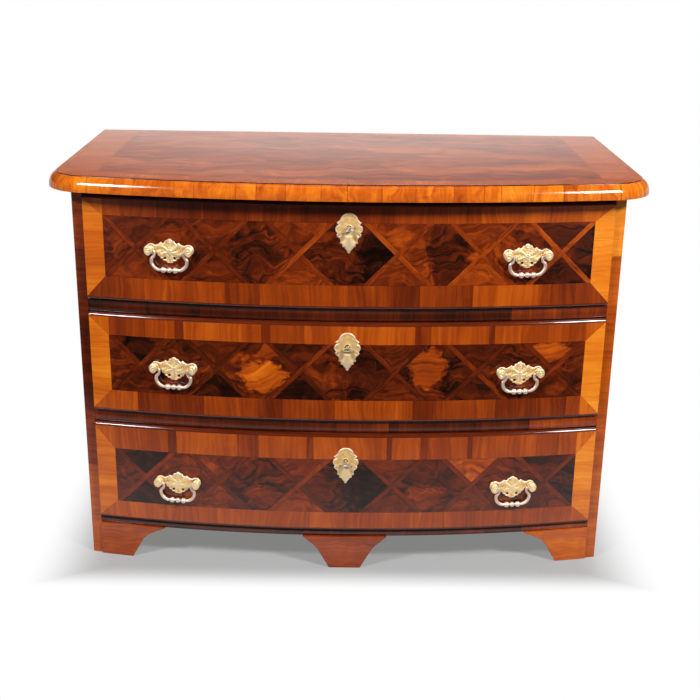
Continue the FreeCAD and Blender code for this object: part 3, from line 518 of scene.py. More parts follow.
CROSSINGS = (-432, -271, -99, 99, 271, 432)
STRIP_REACH = 7.4
PANEL_END = 498
FRONT_END = 539.5
SIDE_LENGTHS = 3
SLICE = 26.0
VENEER_PROUD = 0.35
GLUE_LINE = 0.3
GLUE_DARKER = 0.14
KEYHOLE_LEFT, KEYHOLE_RIGHT, KEYHOLE_LOW, KEYHOLE_HIGH = -4.3, 4.3, -10.8, 4.3
KEYHOLE_LEAF = 60

# Each front: panel's lower and upper edge, keyhole height, lozenges from the left, triangles above and
# below the crossings, strips rising and falling through each crossing, frame lengths as (right end, tone),
# and patches of pale sapwood or (below zero) dark heartwood as (x, z, half width, half height, strength)
# The first front's left half has darker tones than its right: darker wood and painted shade.
FRONTS = (dict(
    panel=(648, 776.6), keyhole=768,
    lozenges=(0.33, 0.33, 0.36, 0.31, 0.42, 0.39, 0.21),
    upper=(0.33, 0.32, 0.37, 0.43, 0.42, 0.26), lower=(0.37, 0.30, 0.42, 0.38, 0.46, 0.22),
    strips=((0.33, 0.35), (0.34, 0.32), (0.43, 0.34), (0.42, 0.46), (0.42, 0.43), (0.46, 0.48)),
    top=((-497, 0.54), (-460, 0.42), (-385, 0.37), (-290, 0.32), (-200, 0.30), (-95, 0.33), (0, 0.30),
         (90, 0.35), (180, 0.43), (262, 0.41), (330, 0.47), (405, 0.50), (470, 0.52), (540, 0.56)),
    bottom=((-418, 0.38), (-368, 0.49), (-251, 0.45), (-179, 0.35), (-76, 0.42), (0, 0.44), (87, 0.39),
            (145, 0.34), (178, 0.42), (254, 0.38), (304, 0.49), (391, 0.50), (416, 0.41), (467, 0.35),
            (540, 0.40)),
    left=(0.58, 0.60, 0.62), right=(0.68, 0.70, 0.72),
    patches=((-200, 712, 48, 46, -0.24), (62, 704, 42, 58, -0.85), (204, 712, 46, 70, -0.55),
             (104, 752, 30, 14, 0.2), (-100, 664, 34, 12, 0.25), (262, 664, 30, 14, 0.3))), dict(
    panel=(398.3, 521.4), keyhole=518,
    lozenges=(0.37, 0.33, 0.37, 0.32, 0.30, 0.33, 0.34),
    upper=(0.25, 0.31, 0.27, 0.28, 0.27, 0.33), lower=(0.31, 0.16, 0.17, 0.32, 0.24, 0.32),
    strips=((0.30, 0.28), (0.28, 0.27), (0.36, 0.28), (0.30, 0.31), (0.29, 0.38), (0.32, 0.30)),
    top=((-497, 0.57), (-420, 0.40), (-357, 0.42), (-339, 0.34), (-227, 0.50), (-177, 0.46),
         (-159, 0.37), (-89, 0.42), (0, 0.46), (139, 0.51), (171, 0.35), (293, 0.45), (304, 0.32),
         (385, 0.46), (462, 0.45), (497, 0.40), (540, 0.54)),
    bottom=((-442, 0.49), (-300, 0.37), (-184, 0.43), (-134, 0.34), (-24, 0.41), (139, 0.49),
            (182, 0.34), (314, 0.40), (343, 0.34), (467, 0.37), (497, 0.43), (540, 0.62)),
    left=(0.60, 0.64, 0.62), right=(0.73, 0.70, 0.68),
    patches=((-172, 446, 54, 34, 1.0), (168, 470, 42, 46, 1.0), (424, 500, 46, 22, 0.8),
             (440, 416, 26, 14, 0.4), (-432, 500, 34, 30, -0.5), (48, 455, 66, 62, -0.42),
             (-96, 494, 44, 10, 0.3), (112, 424, 34, 9, 0.3))), dict(
    panel=(137.9, 262.8), keyhole=261,
    lozenges=(0.30, 0.37, 0.31, 0.30, 0.31, 0.34, 0.18),
    upper=(0.15, 0.36, 0.37, 0.33, 0.53, 0.23), lower=(0.15, 0.36, 0.38, 0.31, 0.31, 0.33),
    strips=((0.32, 0.32), (0.30, 0.31), (0.42, 0.31), (0.31, 0.33), (0.31, 0.32), (0.33, 0.36)),
    top=((-497, 0.55), (-440, 0.46), (-380, 0.42), (-362, 0.32), (-231, 0.51), (-186, 0.37),
         (-83, 0.51), (-69, 0.33), (0, 0.49), (87, 0.47), (97, 0.32), (159, 0.48), (173, 0.33),
         (260, 0.44), (269, 0.33), (410, 0.46), (457, 0.41), (497, 0.46), (540, 0.58)),
    bottom=((-378, 0.49), (-319, 0.45), (-226, 0.47), (-77, 0.46), (0, 0.50), (73, 0.45), (159, 0.47),
            (214, 0.45), (300, 0.43), (365, 0.46), (497, 0.45), (540, 0.52)),
    left=(0.62, 0.62, 0.62), right=(0.66, 0.68, 0.70),
    patches=((-176, 170, 44, 26, 0.45), (172, 174, 50, 28, 0.45), (50, 190, 62, 60, -0.7))))


def on_panel(front, x, z):
    """True for a point inside the frame of a front."""
    return abs(x) < PANEL_END and front["panel"][0] < z < front["panel"][1]


def leaf_at(front, low, high, x, z):
    """The leaf of a front at a point: its name, tone, figure and the direction of its grain in degrees."""
    panel_low, panel_high = front["panel"]
    if on_panel(front, x, z):
        level = z - (panel_low + panel_high) / 2
        half = (panel_high - panel_low) / 2
        for index, crossing in enumerate(CROSSINGS):
            across = x - crossing
            if abs(across) > half + STRIP_REACH:
                continue
            if abs(across - level) < STRIP_REACH:
                return "strip up %d" % index, front["strips"][index][0], 0.45, 45
            if abs(across + level) < STRIP_REACH:
                return "strip down %d" % index, front["strips"][index][1], 0.45, -45
            if abs(level) > abs(across):
                row = "upper" if level > 0 else "lower"
                return "%s %d" % (row, index), front[row][index], 0.6, 10 if level > 0 else -8
        place = sum(x > crossing for crossing in CROSSINGS)
        return "lozenge %d" % place, front["lozenges"][place], 0.9, 35 - 10 * place
    margin = (FRONT_END - abs(x)) / (FRONT_END - PANEL_END)
    upright = (high - z) / (high - panel_high) if z > panel_high else (z - low) / (panel_low - low)
    if abs(x) > PANEL_END and margin < upright:
        hand = "right" if x > 0 else "left"
        step = int(SIDE_LENGTHS * (z - low) / (high - low + 0.001))
        return "%s %d" % (hand, step), front[hand][step], 0.12, 0
    row = "top" if z > panel_high else "bottom"
    index = next(index for index, (end, tone) in enumerate(front[row]) if x < end)
    return "%s %d" % (row, index), front[row][index][1], 0.1, 90


for number, (low, high), front in zip("123", DRAWER_LEVELS, FRONTS):
    low, high = (low + FRONT_LIP) / MM, (high - FRONT_LIP) / MM
    panel_low, panel_high = front["panel"]
    middle_z, half = (panel_low + panel_high) / 2, (panel_high - panel_low) / 2
    sheet = bmesh.new()
    corners = ((-FRONT_END, low), (FRONT_END, low), (FRONT_END, high), (-FRONT_END, high))
    sheet.faces.new([sheet.verts.new((x, 0, z)) for x, z in corners])

    # Frame
    for level in (panel_low, panel_high):
        cut(sheet, (0, 0, level), ALONG_Z)
    for side in (-1, 1):
        cut(sheet, (side * PANEL_END, 0, 0), ALONG_X)
        for level, corner in ((panel_low, low), (panel_high, high)):
            slope = Vector((level - corner, 0, side * (FRONT_END - PANEL_END)))
            cut(sheet, (side * PANEL_END, 0, level), slope,
                lambda middle: side * middle.x > PANEL_END and (middle.z - level) * (corner - level) > 0)
        for step in range(1, SIDE_LENGTHS):
            cut(sheet, (0, 0, low + step * (high - low) / SIDE_LENGTHS), ALONG_Z,
                lambda middle: side * middle.x > PANEL_END)
    for end, tone in front["top"][:-1]:
        cut(sheet, (end, 0, 0), ALONG_X, lambda middle: middle.z > panel_high)
    for end, tone in front["bottom"][:-1]:
        cut(sheet, (end, 0, 0), ALONG_X, lambda middle: middle.z < panel_low)

    # Strips, keyhole, and slices that follow the bow
    for crossing in CROSSINGS:
        for side in (-1, 1):
            cut(sheet, (crossing + side * (half + STRIP_REACH), 0, 0), ALONG_X,
                lambda middle: on_panel(front, middle.x, middle.z))
        for side in (-1, 1):
            for shift in (-STRIP_REACH, STRIP_REACH):
                cut(sheet, (crossing + shift, 0, middle_z), (1, 0, side),
                    lambda middle: on_panel(front, middle.x, middle.z)
                    and abs(middle.x - crossing) < half + STRIP_REACH)
    for edge in (KEYHOLE_LEFT, KEYHOLE_RIGHT):
        cut(sheet, (edge, 0, 0), ALONG_X, lambda middle: abs(middle.x) < KEYHOLE_LEAF)
    for edge in (KEYHOLE_LOW, KEYHOLE_HIGH):
        cut(sheet, (0, 0, front["keyhole"] + edge), ALONG_Z, lambda middle: abs(middle.x) < KEYHOLE_RIGHT)
    opening = [face for face in faces_between(sheet, ALONG_X, KEYHOLE_LEFT, KEYHOLE_RIGHT)
               if KEYHOLE_LOW < face.calc_center_median().z - front["keyhole"] < KEYHOLE_HIGH]
    bmesh.ops.delete(sheet, geom=opening, context="FACES")
    count = int(2 * FRONT_END / SLICE)
    for step in range(1, count):
        cut(sheet, (-FRONT_END + step * 2 * FRONT_END / count, 0, 0), ALONG_X)

    # Leaves, each with a glue line round it and its own grain
    grain = sheet.loops.layers.uv.new("grain")
    patch = sheet.loops.layers.uv.new("patch")
    leaf = sheet.loops.layers.float_color.new("leaf")
    leaves = {}
    for face in sheet.faces:
        middle = face.calc_center_median()
        leaves.setdefault(leaf_at(front, low, high, middle.x, middle.z)[0], []).append(face)
    glue = []
    for faces in leaves.values():
        glue += bmesh.ops.inset_region(sheet, faces=faces, thickness=GLUE_LINE, use_boundary=True,
                                       use_even_offset=True)["faces"]
    for face in sheet.faces:
        middle = face.calc_center_median()
        name, tone, figure, turn = leaf_at(front, low, high, middle.x, middle.z)
        if face in glue:
            tone -= GLUE_DARKER
        chooser = random.Random(number + name)
        shift_along, shift_across = chooser.uniform(1, 30), chooser.uniform(1, 30)
        tone += chooser.uniform(-0.015, 0.015)
        turn = math.radians(turn + chooser.uniform(-4, 4))
        near = [row for row in front["patches"] if name.split()[0] in ("lozenge", "upper", "lower")
                and name == leaf_at(front, low, high, row[0], row[1])[0]]
        for loop in face.loops:
            x, z = loop.vert.co.x, loop.vert.co.z
            loop[grain].uv = ((x * math.cos(turn) + z * math.sin(turn)) * MM + shift_along,
                              (z * math.cos(turn) - x * math.sin(turn)) * MM + shift_across)
            loop[leaf] = (tone, figure, near[0][4] if near else 0.0, 1.0)
            if near:
                patch_x, patch_z, reach_x, reach_z = near[0][:4]
                loop[patch].uv = ((x - patch_x) / reach_x, (z - patch_z) / reach_z)
    for vert in sheet.verts:
        radius = FACE_RADIUS + VENEER_PROUD * MM
        vert.co = on_bow(radius, math.asin(vert.co.x * MM / radius), vert.co.z * MM)
    bmesh.ops.solidify(sheet, geom=sheet.faces, thickness=2 * VENEER_PROUD * MM)
    bmesh.ops.recalc_face_normals(sheet, faces=sheet.faces)
    add_piece("drawer_%s_marquetry" % number, sheet, [walnut], "drawer_" + number, "walnut_marquetry")

# Locks: a sawn and filed iron case let into the back of each front, its bolt, and a steel key with an
# oval bow.


def plain_metal(name, cloud_size, detail, uneven, stops, rough):
    """Metal that is duller and darker in clouds of tarnish, their size in millimetres."""
    metal, tree = new_material(name)
    place = add(tree, "TexCoord").outputs["Object"]
    clouds = noise(tree, place, cloud_size, detail=detail, roughness=uneven)
    surface(tree, clouds, stops, {"Roughness": ranged(tree, clouds, 0.0, 1.0, *rough), "Metallic": 1.0})
    return metal


# Forged iron and filed steel: grey with a brown bloom on the iron, pale on the keys, both duller and darker
# in clouds of tarnish.
iron = plain_metal("filed wrought iron", 14.0, 5.0, 0.5, [(0.35, "3A3028"), (0.7, "77726A")], (0.55, 0.35))
steel = plain_metal("worn key steel", 6.0, 5.0, 0.5, [(0.3, "A89C8C"), (0.7, "ECE6DC")], (0.5, 0.32))

for number in "123":
    for part, arris, finish, body, slot in (("lock_case_", 0.3, iron, "drawer_", "iron"),
                                            ("lock_bolt_", 0.3, iron, "lock_bolt_", "iron"),
                                            ("key_", 0.6, steel, "key_", "steel")):
        node = part + number
        add_piece(node + "_filed", copy_of(node, arris), [finish], body + number, slot, node)

# Escutcheons and handle plates: thin brass castings with a raised rim and chased relief, pinned to the
# fronts. Posts with scrolled heads go through the front to a nut, and carry a drop bail with beads.

# Cast brass, chased and pale with old gilding: cream gold where the relief is rubbed, brown in the
# hollows, with a matt cast skin that spreads the light. The bails are bare and rubbed nearly silver.
brass, tree = new_material("chased cast brass")
grime = noise(tree, add(tree, "TexCoord").outputs["Object"], 9.0, detail=5.0, roughness=0.65)
wear = add(tree, "VertexColor", layer_name="wear")
wear = add(tree, "SeparateColor", {"Color": wear.outputs["Color"]}).outputs[0]
worn = maths(tree, "MULTIPLY_ADD", grime, 0.5, wear)
skin = add(tree, "Bump", {"Height": grime, "Strength": 0.5, "Distance": 0.4 * MM})
surface(tree, worn, [(0.15, "5E3E16"), (0.9, "FFE9CE"), (0.3, "DDB574"), (0.5, "F8DBA2")],
        {"Roughness": ranged(tree, worn, 0.3, 1.0, 0.7, 0.5), "Normal": skin.outputs[0], "Metallic": 1.0})
bail_brass = plain_metal("rubbed bail brass", 12.0, 4.0, 0.6, [(0.3, "E4C2AC"), (0.7, "FFEEE2")],
                         (0.62, 0.42))


def rub(shape, height):
    """Writes how far each point of a casting is rubbed bright, from 0 in the hollows to 1 on the crests."""
    wear = shape.loops.layers.float_color.new("wear")
    for face in shape.faces:
        for loop in face.loops:
            level = height(loop.vert.co)
            loop[wear] = (level, level, level, 1.0)


PLATE_OUTLINE = (
    (0.0, 24.6), (4.0, 22.8), (5.2, 20.8), (9.4, 20.0), (11.0, 16.6), (14.2, 14.0), (18.8, 16.8),
    (23.6, 12.6, 31.0, 10.4), (49.8, 1.5, 35.0, -8.6), (29.5, -5.0, 26.5, -7.0), (26.0, -10.5),
    (21.4, -12.5), (19.4, -17.0), (15.2, -17.4), (14.2, -21.5), (8.6, -22.4), (6.2, -25.4), (0.0, -26.4))
ESCUTCHEON_OUTLINE = (
    (0.0, 29.4), (11.8, 25.4, 18.0, 15.0), (24.4, 9.4), (20.4, 5.0), (27.4, -3.4, 22.2, -11.4),
    (24.8, -14.0), (23.8, -18.2), (18.6, -21.8), (16.6, -26.4), (18.4, -32.0), (13.4, -33.8),
    (13.4, -39.0), (9.0, -40.6), (6.8, -44.4), (3.4, -47.6), (3.0, -51.0), (0.0, -53.0))
SCROLL_OUTLINE = ((0.0, 10.8), (8.4, 0.0, 0.0, -10.8))
PLATE_RIM = ((0.8, 0.8), (0.9, 0.1), (0.6, -0.4))
ESCUTCHEON_RIM = ((0.8, 0.9), (1.0, 0.1), (0.6, -0.5))
SCROLL_RIM = ((0.8, 0.7), (0.9, 0.1), (0.5, -0.5))
ARC_STEPS = 10
CHASING_PASSES = 7
CHASING_STEP = 1.5


def half_outline(rows):
    """Points down the right half of a casting's edge; a row of four is an arc's middle and end."""
    points = [Vector(rows[0])]
    for row in rows[1:]:
        start, end = points[-1], Vector(row[-2:])
        if len(row) == 2:
            points.append(end)
            continue
        through = Vector(row[:2])
        chord, bulge = end - start, through - start
        spread = 2 * (chord.x * bulge.y - chord.y * bulge.x)
        centre = start + Vector((bulge.y * chord.length_squared - chord.y * bulge.length_squared,
                                 chord.x * bulge.length_squared - bulge.x * chord.length_squared)) / spread
        first = math.atan2(*(start - centre).yx)
        sweep = math.remainder(math.atan2(*(end - centre).yx) - first, math.tau)
        mid = math.remainder(math.atan2(*(through - centre).yx) - first, math.tau)
        if mid * sweep < 0 or abs(mid) > abs(sweep):
            sweep -= math.copysign(math.tau, sweep)
        radius = (start - centre).length
        for step in range(1, ARC_STEPS + 1):
            angle = first + sweep * step / ARC_STEPS
            points.append(centre + radius * Vector((math.cos(angle), math.sin(angle))))
    return points


def casting(rows, holes, thickness, rim, relief):
    """Plate cast to an outline with a rounded rim, in millimetres, its back at y = 0 and its face at -y."""
    shape = bmesh.new()
    right = half_outline(rows)
    loop = right + [Vector((-point.x, point.y)) for point in reversed(right[1:-1])]
    for points in [loop] + holes:
        verts = [shape.verts.new((point[0], 0, point[1])) for point in points]
        for first, second in zip(verts, verts[1:] + verts[:1]):
            shape.edges.new((first, second))
    bmesh.ops.triangle_fill(shape, edges=shape.edges[:], use_beauty=True, normal=(0, -1, 0))
    made = bmesh.ops.extrude_face_region(shape, geom=shape.faces[:], use_keep_orig=True)["geom"]
    bmesh.ops.translate(shape, verts=[part for part in made if isinstance(part, bmesh.types.BMVert)],
                        vec=(0, -thickness, 0))
    face_side = [part for part in made if isinstance(part, bmesh.types.BMFace)]
    for width, rise in rim:
        bmesh.ops.inset_region(shape, faces=face_side, thickness=width, use_even_offset=True,
                               use_boundary=True)
        inner = {vert for face in face_side for vert in face.verts}
        bmesh.ops.translate(shape, verts=list(inner), vec=(0, -rise, 0))
    level = -thickness - sum(rise for width, rise in rim)
    rim_verts = {vert for vert in shape.verts if any(face not in face_side for face in vert.link_faces)}
    crests = {vert.co.copy().freeze() for vert in rim_verts}
    middles = [(sum(points, Vector((0, 0))) / len(points),
                max((point - points[0]).length for point in points) / 2) for points in holes]
    for turn in range(CHASING_PASSES):
        inner = {edge for face in face_side for edge in face.edges if not rim_verts.issuperset(edge.verts)}
        long = [edge for edge in inner if edge.calc_length() > CHASING_STEP]
        bmesh.ops.subdivide_edges(shape, edges=long, cuts=1)
        face_side = [face for face in shape.faces
                     if all(abs(vert.co.y - level) < 0.001 for vert in face.verts)]
        face_side = bmesh.ops.triangulate(shape, faces=face_side)["faces"]
    for vert in {vert for face in face_side for vert in face.verts} - rim_verts:
        vert.co.y -= relief(vert.co.x, vert.co.z)
    bmesh.ops.recalc_face_normals(shape, faces=shape.faces)

    def rubbed(place):
        """Bright on the rim and crests, dark with dirt in the hollows, and darkest round the holes."""
        if any((Vector((place.x, place.z)) - middle).length < reach + 1.0 for middle, reach in middles):
            return -0.15
        if place.copy().freeze() in crests:
            return 0.62
        return min(0.8, 0.1 + 0.2 * (level - place.y))

    rub(shape, rubbed)
    return shape


EAR_X = 42


def plate_relief(u, w):
    """Height of a handle plate's chasing: leaf ribs that spread from a low boss, and a scroll on each ear."""
    if abs(u) > 31:
        return scroll_relief(abs(u) - EAR_X, w)
    reach = math.hypot(u, w + 3)
    turn = math.atan2(u, w + 3)
    boss = 1.5 * math.exp(-(reach / 9.0) ** 2)
    ribs = min(1.0, reach / 12) * (0.5 * math.cos(7 * turn) + 0.3 * math.cos(13 * turn + 0.35 * reach))
    return boss + 0.6 + ribs + 0.2 * math.cos(1.3 * reach)


def scroll_relief(u, w):
    """Height of a scroll: a low dome with one coil sunk into it, a deep eye and a slot beside it."""
    reach = math.hypot(u, w)
    coil = math.cos(1.15 * reach - math.atan2(w, u))
    eye = 1.8 * math.exp(-((u + 2.0) ** 2 + (w + 1.5) ** 2) / 3.5)
    slot = 1.4 * math.exp(-(u + 5.0) ** 2 / 10 - (w + 5.0) ** 2 / 3)
    return max(0.0, 1.2 - 0.012 * reach ** 2) + 0.6 * coil * min(1.0, reach / 3) - eye - slot


def escutcheon_relief(u, w):
    """Height of an escutcheon's chasing: a nearly flat field, and leaf ribs that run down to the tip."""
    ribs = min(1.0, max(0.0, (-w - 12) / 8)) * (0.7 + 0.8 * math.cos(0.75 * u + 0.02 * w * u))
    crown = 0.5 * math.exp(-((math.hypot(u, w) - 20) / 2.2) ** 2) * (1 + math.cos(9 * math.atan2(u, w))) / 2
    return 0.15 + ribs + crown


def seat(shape, matrix):
    """Bends a casting to the bow and carries it from millimetres to its place on the front."""
    for vert in shape.verts:
        vert.co.y += vert.co.x ** 2 / (2 * FACE_RADIUS / MM) - VENEER_PROUD
    bmesh.ops.transform(shape, matrix=matrix @ Matrix.Scale(MM, 4), verts=shape.verts)


# Runs of the bail's bar in millimetres, from the pin to the middle of the grip: straight length, centre of
# the bend, its angle, and steps
PIN_RADIUS = 2.6
PIN_END = 46
SWELL = 0.9
GRIP_Z = -39
BEADS = ((-12.4, 6.3), (0.0, 5.6), (12.4, 6.3))
FLARE = (7 ** 2 + 14 ** 2) / 28
FLARE_TURN = math.asin(14 / (2 * FLARE))
BENT = (0, 0, 0)
BAIL_RUNS = (((-12, 0, 0), (0, 0), 0.0, 1), (BENT, (34, -4), -math.pi / 2, 6), ((0, 0, -2), (0, 0), 0.0, 1),
             (BENT, (30 + FLARE, -6), -FLARE_TURN, 6), (BENT, (37 - FLARE, -20), FLARE_TURN, 6),
             (BENT, (18, -20), math.pi / 2, 14), ((-18, 0, 0), (0, 0), 0.0, 2))


def bail_loop():
    """Bail in millimetres about its pins: round bar bent from pin to pin, with three turned beads."""
    quarter = Matrix.Rotation(math.pi / 2, 3, "Y")
    shape = bmesh.new()
    bmesh.ops.create_circle(shape, segments=14, radius=PIN_RADIUS)
    bmesh.ops.rotate(shape, verts=shape.verts, matrix=quarter)
    bmesh.ops.translate(shape, verts=shape.verts, vec=(PIN_END, 0, 0))
    last = shape.verts[:] + shape.edges[:]
    for straight, centre, angle, steps in BAIL_RUNS:
        last = bmesh.ops.spin(shape, geom=last, cent=(centre[0], 0, centre[1]), axis=(0, 1, 0), angle=angle,
                              dvec=Vector(straight) / steps, steps=steps)["geom_last"]
    bmesh.ops.mirror(shape, geom=shape.verts[:] + shape.edges[:] + shape.faces[:], axis="X", merge_dist=0.001)
    bmesh.ops.recalc_face_normals(shape, faces=shape.faces)
    shape.normal_update()
    for vert in shape.verts:
        below_pin = min(1.0, max(0.0, (-vert.co.z - 4) / 12))
        beside_beads = min(1.0, max(0.0, (abs(vert.co.x) - 16) / 8))
        vert.co += vert.normal * SWELL * (below_pin * beside_beads)
    for x, radius in BEADS:
        bead = bmesh.ops.create_uvsphere(shape, u_segments=16, v_segments=10, radius=radius)["verts"]
        bmesh.ops.rotate(shape, verts=bead, matrix=quarter)
        bmesh.ops.translate(shape, verts=bead, vec=(x, 0, GRIP_Z))
    bmesh.ops.remove_doubles(shape, verts=shape.verts, dist=0.001)
    bmesh.ops.holes_fill(shape, edges=shape.edges, sides=20)
    bmesh.ops.recalc_face_normals(shape, faces=shape.faces)
    return shape


def join(shape, part):
    """Adds a part to a shape and lets the part go."""
    mesh = bpy.data.meshes.new("part")
    part.to_mesh(mesh)
    part.free()
    shape.from_mesh(mesh)
    bpy.data.meshes.remove(mesh)


HANDLE_X = 361.0 * MM
HANDLE_Y = -262.6212356 * MM
HANDLE_TURN = math.radians(7.489751)
HANDLE_HEIGHTS = (0.710, 0.457, 0.194)
LOCK_HEIGHTS = (0.768, 0.518, 0.261)
FACE_Y = BOW_CENTRE_Y - FACE_RADIUS
PIVOT_OUT = 9.0
HANDLE_REACH = 60
HEAD_BACK = -12.4
HEAD_SHRINK = 0.16
SCROLL_X = 41.6
SCROLL_Z = 2.2
PIN_HOLE_X = 10.2
PIN_HOLE_Z = -15.5
PIN_HOLE_RADIUS = 2.0
KEYHOLE_RADIUS = 4
KEYHOLE_FOOT = [Vector((2.5, -10.5)), Vector((-2.5, -10.5))]
pin_holes = [[Vector((side * PIN_HOLE_X + PIN_HOLE_RADIUS * math.cos(turn * math.pi / 5),
                      PIN_HOLE_RADIUS * math.sin(turn * math.pi / 5) + PIN_HOLE_Z))
              for turn in range(10)] for side in (-1, 1)]
keyhole = [Vector((KEYHOLE_RADIUS * math.sin(turn), KEYHOLE_RADIUS * math.cos(turn)))
           for turn in map(math.radians, range(-140, 141, 20))] + KEYHOLE_FOOT
for number, handle_z, lock_z in zip("123", HANDLE_HEIGHTS, LOCK_HEIGHTS):
    body = "drawer_" + number
    shape = casting(ESCUTCHEON_OUTLINE, [keyhole], 1.6, ESCUTCHEON_RIM, escutcheon_relief)
    seat(shape, Matrix.Translation((0, FACE_Y, lock_z)))
    add_piece("escutcheon_%s_cast" % number, shape, [brass], body, "brass", "escutcheon_" + number)
    plates = bmesh.new()
    scrolls = []
    posts = copy_of("handle_posts_" + number, 0.8)
    for hand, side in HANDS:
        stand = Matrix.Translation((side * HANDLE_X, HANDLE_Y, handle_z))
        stand = stand @ Matrix.Rotation(side * HANDLE_TURN, 4, "Z")
        plate = casting(PLATE_OUTLINE, pin_holes, 1.4, PLATE_RIM, plate_relief)
        seat(plate, stand)
        join(plates, plate)
        for vert in posts.verts:
            local = stand.inverted() @ vert.co / MM
            if local.length < HANDLE_REACH and local.y < HEAD_BACK:
                local.x += (math.copysign(EAR_X, local.x) - local.x) * HEAD_SHRINK
                local.z *= 1 - HEAD_SHRINK
                vert.co = stand @ (local * MM)
        to_front = stand @ Matrix.Scale(MM, 4)
        for ear in (-1, 1):
            scroll = casting(SCROLL_OUTLINE, [], 3.4, SCROLL_RIM, scroll_relief)
            if ear < 0:
                bmesh.ops.scale(scroll, vec=(-1, 1, 1), verts=scroll.verts)
                bmesh.ops.recalc_face_normals(scroll, faces=scroll.faces)
            place = Matrix.Translation((ear * SCROLL_X, HEAD_BACK, SCROLL_Z))
            bmesh.ops.transform(scroll, matrix=to_front @ place, verts=scroll.verts)
            scrolls.append(scroll)
        bail = bail_loop()
        place = Matrix.Translation((0, -PIVOT_OUT, 0))
        bmesh.ops.transform(bail, matrix=to_front @ place, verts=bail.verts)
        name = "bail_%s_%s" % (number, hand)
        add_piece(name + "_bent", bail, [bail_brass], name, "brass", name)
    add_piece("handle_plates_%s_cast" % number, plates, [brass], body, "brass", "handle_plates_" + number)
    rub(posts, lambda place: 0.4)
    for scroll in scrolls:
        join(posts, scroll)
    add_piece("handle_posts_%s_turned" % number, posts, [brass], body, "brass", "handle_posts_" + number)

# Floor, light and camera: a pale studio floor, two soft boxes high on the left and right in front, a
# large one behind, and the camera of the photograph, about 2.6 m in front and looking down on the chest.

CHEST_HALF = (0.6, 0.33)
FLOOR_SIZE = 40.0


def set_up(name, shape, paint):
    """Makes a shape part of the studio."""
    mesh = bpy.data.meshes.new(name)
    shape.to_mesh(mesh)
    shape.free()
    mesh.materials.append(paint)
    thing = bpy.data.objects.new(name, mesh)
    bpy.context.scene.collection.objects.link(thing)
    return thing


def seen_rays(tree):
    """1 on rays from the camera or a reflection of it, and 0 on those that only carry light."""
    path = add(tree, "LightPath").outputs
    seen = maths(tree, "MAXIMUM", path["Is Camera Ray"], path["Is Glossy Ray"])
    return maths(tree, "MAXIMUM", seen, path["Is Transmission Ray"])


def away_from_chest(tree, place):
    """How far out a point lies, 1 along the edges of the chest's plan."""
    shares = (1 / CHEST_HALF[0], 1 / CHEST_HALF[1], 0.0)
    away = maths(tree, "MULTIPLY", place, shares, kind="VectorMath")
    away = add(tree, "SeparateXYZ", {0: maths(tree, "ABSOLUTE", away, kind="VectorMath")})
    return maths(tree, "MAXIMUM", away.outputs[0], away.outputs[1])


# Pale floor, which is white to the camera but for the shade under and close round the chest.
floor_paint, tree = new_material("pale floor")
shader = add(tree, "BsdfPrincipled", {"Base Color": linear("848484"), "Roughness": 0.9})
away = away_from_chest(tree, add(tree, "TexCoord").outputs["Object"])
fade = ranged(tree, away, 0.85, 1.15, low=0.22, interpolation_type="SMOOTHSTEP")
share = maths(tree, "MULTIPLY", fade, seen_rays(tree))
white = add(tree, "Emission", {"Color": linear("FFFFFF"), "Strength": 1.0})
mixed = add(tree, "MixShader", {0: share, 1: shader.outputs[0], 2: white.outputs[0]})
add(tree, "OutputMaterial", {"Surface": mixed.outputs[0]})
sheet = bmesh.new()
bmesh.ops.create_grid(sheet, x_segments=1, y_segments=1, size=FLOOR_SIZE / 2)
floor = set_up("floor", sheet, floor_paint)

# The dim studio that the polish mirrors: its walls, with one dark line that shows as a thin streak on the
# top, are seen in reflections only, and its floor cloth is open round the chest.
ROOM_SIZE = 7.0
ROOM_LIFT = 3 * MM
LINE_ARCH = 0.04
room_paint, tree = new_material("dim studio walls")
place = add(tree, "TexCoord").outputs["Object"]
parts = add(tree, "SeparateXYZ", {0: place}).outputs
arch = maths(tree, "MULTIPLY", parts["X"], parts["X"])
arch = maths(tree, "MULTIPLY_ADD", arch, LINE_ARCH, parts["Z"])
level = add(tree, "ValToRGB", {"Fac": ranged(tree, arch, 0.0, ROOM_SIZE)},
            stops=[(0.01, "282828"), (0.03, "E0E0E0"), (0.212, "F7F7F4"), (0.2145, "303030"),
                   (0.2175, "303030"), (0.22, "D8D8D4"), (0.228, "D8D8D4"), (0.233, "505050")])
strength = ranged(tree, parts["Y"], -1.0, 3.0, 0.25, 1.0)
walls = add(tree, "Emission", {"Color": level.outputs[0], "Strength": strength})
cover = ranged(tree, away_from_chest(tree, place), 1.0, 3.4)
clear = add(tree, "BsdfTransparent")
mixed = add(tree, "MixShader", {0: cover, 1: clear.outputs[0], 2: walls.outputs[0]})
add(tree, "OutputMaterial", {"Surface": mixed.outputs[0]})
box = bmesh.new()
bmesh.ops.create_cube(box, size=ROOM_SIZE)
bmesh.ops.translate(box, verts=box.verts, vec=(0, 0, ROOM_SIZE / 2 + ROOM_LIFT))
room = set_up("studio_room", box, room_paint)
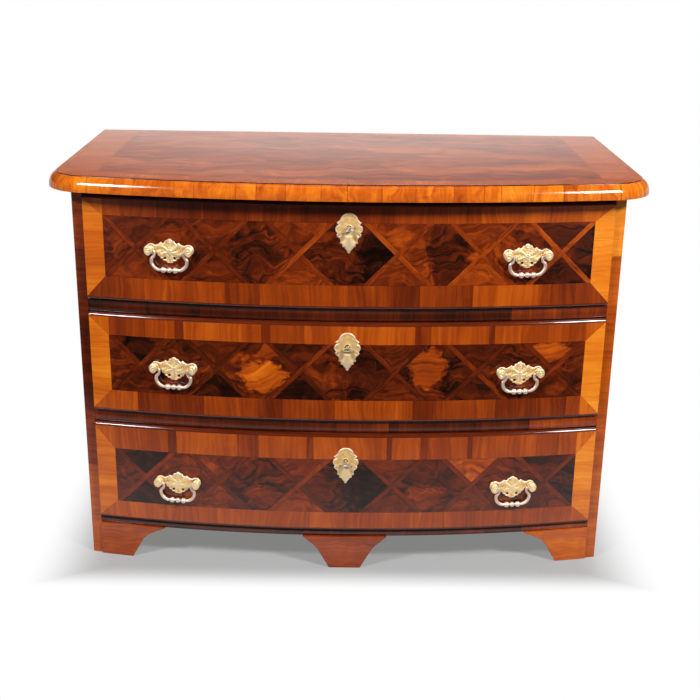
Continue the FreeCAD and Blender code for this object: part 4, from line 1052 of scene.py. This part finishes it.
room.visible_camera = room.visible_diffuse = room.visible_shadow = room.visible_transmission = False

world = bpy.data.worlds.new("studio")
bpy.context.scene.world = world
world.use_nodes = True
tree = world.node_tree
tree.nodes.clear()
strength = ranged(tree, seen_rays(tree), 0.0, 1.0, 0.02, 1.0)
sky = add(tree, "Background", {"Color": linear("FFFFFF"), "Strength": strength})
add(tree, "OutputWorld", {"Surface": sky.outputs[0]})


def soft_box(name, place, target, width, height, watts):
    """Soft box at a place, turned to a target."""
    lamp = bpy.data.lights.new(name, "AREA")
    lamp.shape = "RECTANGLE"
    lamp.size = width
    lamp.size_y = height
    lamp.energy = watts
    holder = bpy.data.objects.new(name, lamp)
    bpy.context.scene.collection.objects.link(holder)
    holder.location = place
    holder.rotation_euler = (Vector(target) - Vector(place)).to_track_quat("-Z", "Y").to_euler()


soft_box("lamp_left", (-2.15, -2.4, 3.0), (0.0, 0.0, 0.45), 0.6, 0.6, 136.0)
soft_box("lamp_right", (2.3, -2.4, 3.0), (0.0, 0.0, 0.45), 0.6, 0.6, 188.0)
soft_box("lamp_back", (0.4, 2.9, 3.3), (0.0, 0.3, 0.4), 2.8, 1.8, 110.0)

CAMERA_PLACE = Vector((-0.0104, -2.5846, 1.3207))
CAMERA_YAW = 0.0069
CAMERA_PITCH = 0.339
CAMERA_ROLL = 0.0154
SENSOR = 36.0
FOCAL_PIXELS = 1184.4
IMAGE_PIXELS = 700.0
view = bpy.data.cameras.new("camera")
view.sensor_width = SENSOR
view.lens = SENSOR * FOCAL_PIXELS / IMAGE_PIXELS
camera = bpy.data.objects.new("camera", view)
bpy.context.scene.collection.objects.link(camera)
tilt = Matrix.Rotation(math.pi / 2 - CAMERA_PITCH, 4, "X") @ Matrix.Rotation(CAMERA_ROLL, 4, "Z")
camera.matrix_world = Matrix.Translation(CAMERA_PLACE) @ Matrix.Rotation(-CAMERA_YAW, 4, "Z") @ tilt
bpy.context.scene.camera = camera
bpy.context.scene.view_settings.view_transform = "Standard"
